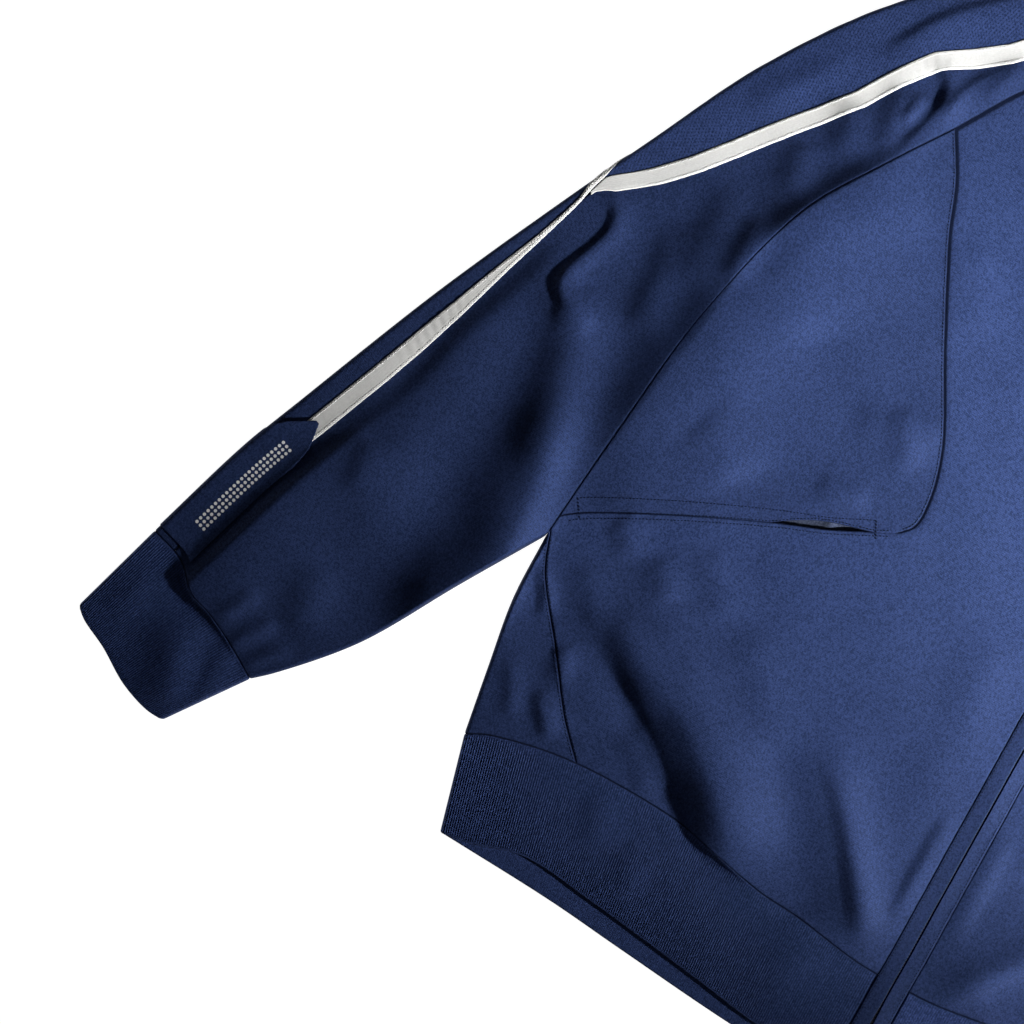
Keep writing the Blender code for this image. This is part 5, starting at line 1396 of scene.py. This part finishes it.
# Both meshes of thread: rows beside the seams, round the mouth and on the cover, and on the tapes
def makeStitches(side, letter):
    pocket = line["pocket"]
    rows = [beside(line[name], *place) for name, *place in topstitches]
    lens = np.linspace(pocketMouth["start"], pocketMouth["end"], 80)
    rows.append(at(pocket, lens) - leftOf(pocket, lens) * (1.6 + pocketLens(lens))[:, None])
    for share, low, high in barTacks:
        across = np.linspace(low, high, 12)[:, None]
        for shift in (-0.35, 0.0, 0.35):
            rows.append(at(pocket, share) + leftOf(pocket, share) * across + [shift, 0])
    paths = [overPlan(side, row) for row in rows]
    up = np.linspace(-60, neckAtZipUp + 20, 500)
    onCover = np.stack([np.full_like(up, zipLine["coverWidth"] - 1.5), up], -1)
    paths.append(overPlan(side, onCover, zipLine["coverRaised"]))
    stitched("topstitch_" + letter, paths, threadFinish)

    paths = []
    for outer, inner, end in ((0, 1, tape["frontEnd"] * 0.93), (2, 3, tape["backEnd"])):
        along = np.linspace(0.004, end, 700)
        depths = tapeDepths(along)
        for edge, away in ((outer, 1.4), (inner, -1.4)):
            paths.append(overSleeve(side, along, depths[:, edge] + away,
                                    cloth["lift"] + cloth["tapeWall"]))
    stitched("tape_stitch_" + letter, paths, tapeThread)
    print("stitches made on side", letter)


teeth = {"pitch": 2.0, "length": 1.15, "reach": 2.5, "past": 0.55, "height": 1.0, "sunk": 0.1,
         "cut": 0.3, "longCut": 0.5, "from": -61.0, "to": 616.0}


# One row of teeth along the parting; the left row is half a pitch above the right one. Each
# tooth is a bar across the parting with its top corners cut, closed all round
def makeTeeth(side, letter):
    up = np.arange(teeth["from"], teeth["to"], teeth["pitch"])
    up = up + (0.5 * teeth["pitch"] if side > 0 else 0) - middle
    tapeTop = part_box("zip_tape")[1][2] / mm
    low, high = tapeTop - teeth["sunk"], tapeTop + teeth["height"]
    start, end, half = -teeth["past"], teeth["reach"], teeth["length"] / 2
    outline = np.array([(start, low), (start, high - teeth["cut"]), (start + teeth["cut"], high),
                        (end - teeth["longCut"], high), (end, low)])
    points = np.empty((len(up), 2, 5, 3))
    points[..., 0] = side * outline[:, 0]
    points[..., 1] = up[:, None, None] + np.array([-half, half])[:, None]
    points[..., 2] = outline[:, 1]
    ring = [(k, (k + 1) % 5, 5 + (k + 1) % 5, 5 + k) for k in range(5)]
    ends = [(0, 3, 2, 1), (0, 4, 3, 3), (5, 6, 7, 8), (5, 8, 9, 9)]
    faces = repeatedFaces(np.array(ring + ends)[:, ::side], 10, len(up))
    onGarment(makeObject("zip_teeth_" + letter, points.reshape(-1, 3), faces, darkMetal))


pieces = {
    "front": frontPiece, "chest": chestPiece, "sleeve_front": sleeveFrontPiece,
    "sleeve_back": sleeveBackPiece, "saddle": saddlePiece, "side_panel": sidePanelPiece,
    "hem_rib": hemPiece, "cuff": cuffPiece, "collar": collarPiece, "tape_front": tapeFrontPiece,
    "tape_back": tapeBackPiece, "sleeve_patch": patchPiece, "zip_cover": coverPiece,
    "pocket_facing": facingPiece,
}
for side, letter in ((-1, "r"), (1, "l")):
    for kind, settings in pieces.items():
        makeCloth(kind, settings, side, letter)
    print("cloth made on side", letter)
    makeStitches(side, letter)
makeCloth("back", backPiece)
print("back made")

# Hard parts keep their solids
for name, finish in (("zip_tape", lining), ("zip_slider", darkMetal), ("pull_tab", darkMetal)):
    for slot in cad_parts[name].material_slots:
        slot.material = finish
makeTeeth(-1, "r")
makeTeeth(1, "l")
print("hard parts finished")

# Floor, light and camera
floor = {"half": 30.0, "drop": 0.0002, "colour": (0.25, 0.25, 0.25, 1), "glow": 1.0}
lights = {
    "keyLight": {"from": (1.17, -0.02, 0.64), "aim": (-0.04, 0.08, 0.0), "size": 0.12,
                 "power": 4.9, "colour": (1, 1, 1), "spread": 43.0},
    "leftLight": {"from": (2.1, -0.9, 1.1), "aim": (0.46, -0.16, 0.0), "size": 0.12,
                  "power": 1.5, "colour": (1, 1, 1), "spread": 20.0},
    "fillLight": {"from": (-0.3, 0.2, 1.8), "aim": (-0.2, 0, 0), "size": 1.4, "power": 0.3,
                  "colour": (0.92, 0.95, 1.0), "spread": 180.0},
}
air = {"colour": (1, 1, 1, 1), "strength": 0.05}
view = {"centre": (-0.3356, -0.1830), "height": 1.105, "width": 0.6144, "turn": 29.1,
        "sensor": 36.0}


# Wide level square just under the cloth
def makeFloor():
    mesh = bpy.data.meshes.new("floor")
    share = np.linspace(-floor["half"], floor["half"], 9)
    x, y = np.meshgrid(share, share)
    points = np.stack([x, y, np.full_like(x, -floor["drop"])], -1).reshape(-1, 3)
    mesh.from_pydata(points.tolist(), [], gridFaces(9, 9).tolist())
    mesh.materials.append(newMaterial("paleFloor", {
        "Base Color": floor["colour"], "Roughness": 0.9, "Emission Color": (1, 1, 1, 1),
        "Emission Strength": floor["glow"]})[0])
    placed("floor", mesh)


# A round lamp turned to its aim
def makeLight(name, light):
    data = bpy.data.lights.new(name, "AREA")
    data.shape, data.size = "DISK", light["size"]
    data.energy, data.color = light["power"], light["colour"]
    data.spread = math.radians(light["spread"])
    made = placed(name, data)
    made.location = light["from"]
    way = np.subtract(light["aim"], light["from"])
    tilt = math.atan2(math.hypot(way[0], way[1]), -way[2])
    made.rotation_euler = (tilt, 0, math.atan2(way[1], way[0]) - math.pi / 2)


# Even light from all round, with colours shown as they are
def makeAir():
    world = bpy.data.worlds.new("studioAir")
    world.use_nodes = True
    feedAll(world.node_tree.nodes["Background"],
            {"Color": air["colour"], "Strength": air["strength"]})
    bpy.context.scene.world = world
    bpy.context.scene.view_settings.view_transform = "Standard"


# Looks straight down; its lens shows this width of the floor from this height
def makeCamera():
    data = bpy.data.cameras.new("camera")
    data.sensor_width = view["sensor"]
    data.lens = view["sensor"] * view["height"] / view["width"]
    camera = placed("camera", data)
    camera.location = (*view["centre"], view["height"])
    camera.rotation_euler = (0, 0, math.radians(view["turn"]))
    bpy.context.scene.camera = camera


makeFloor()
for name, light in lights.items():
    makeLight(name, light)
makeAir()
makeCamera()
print("studio made")
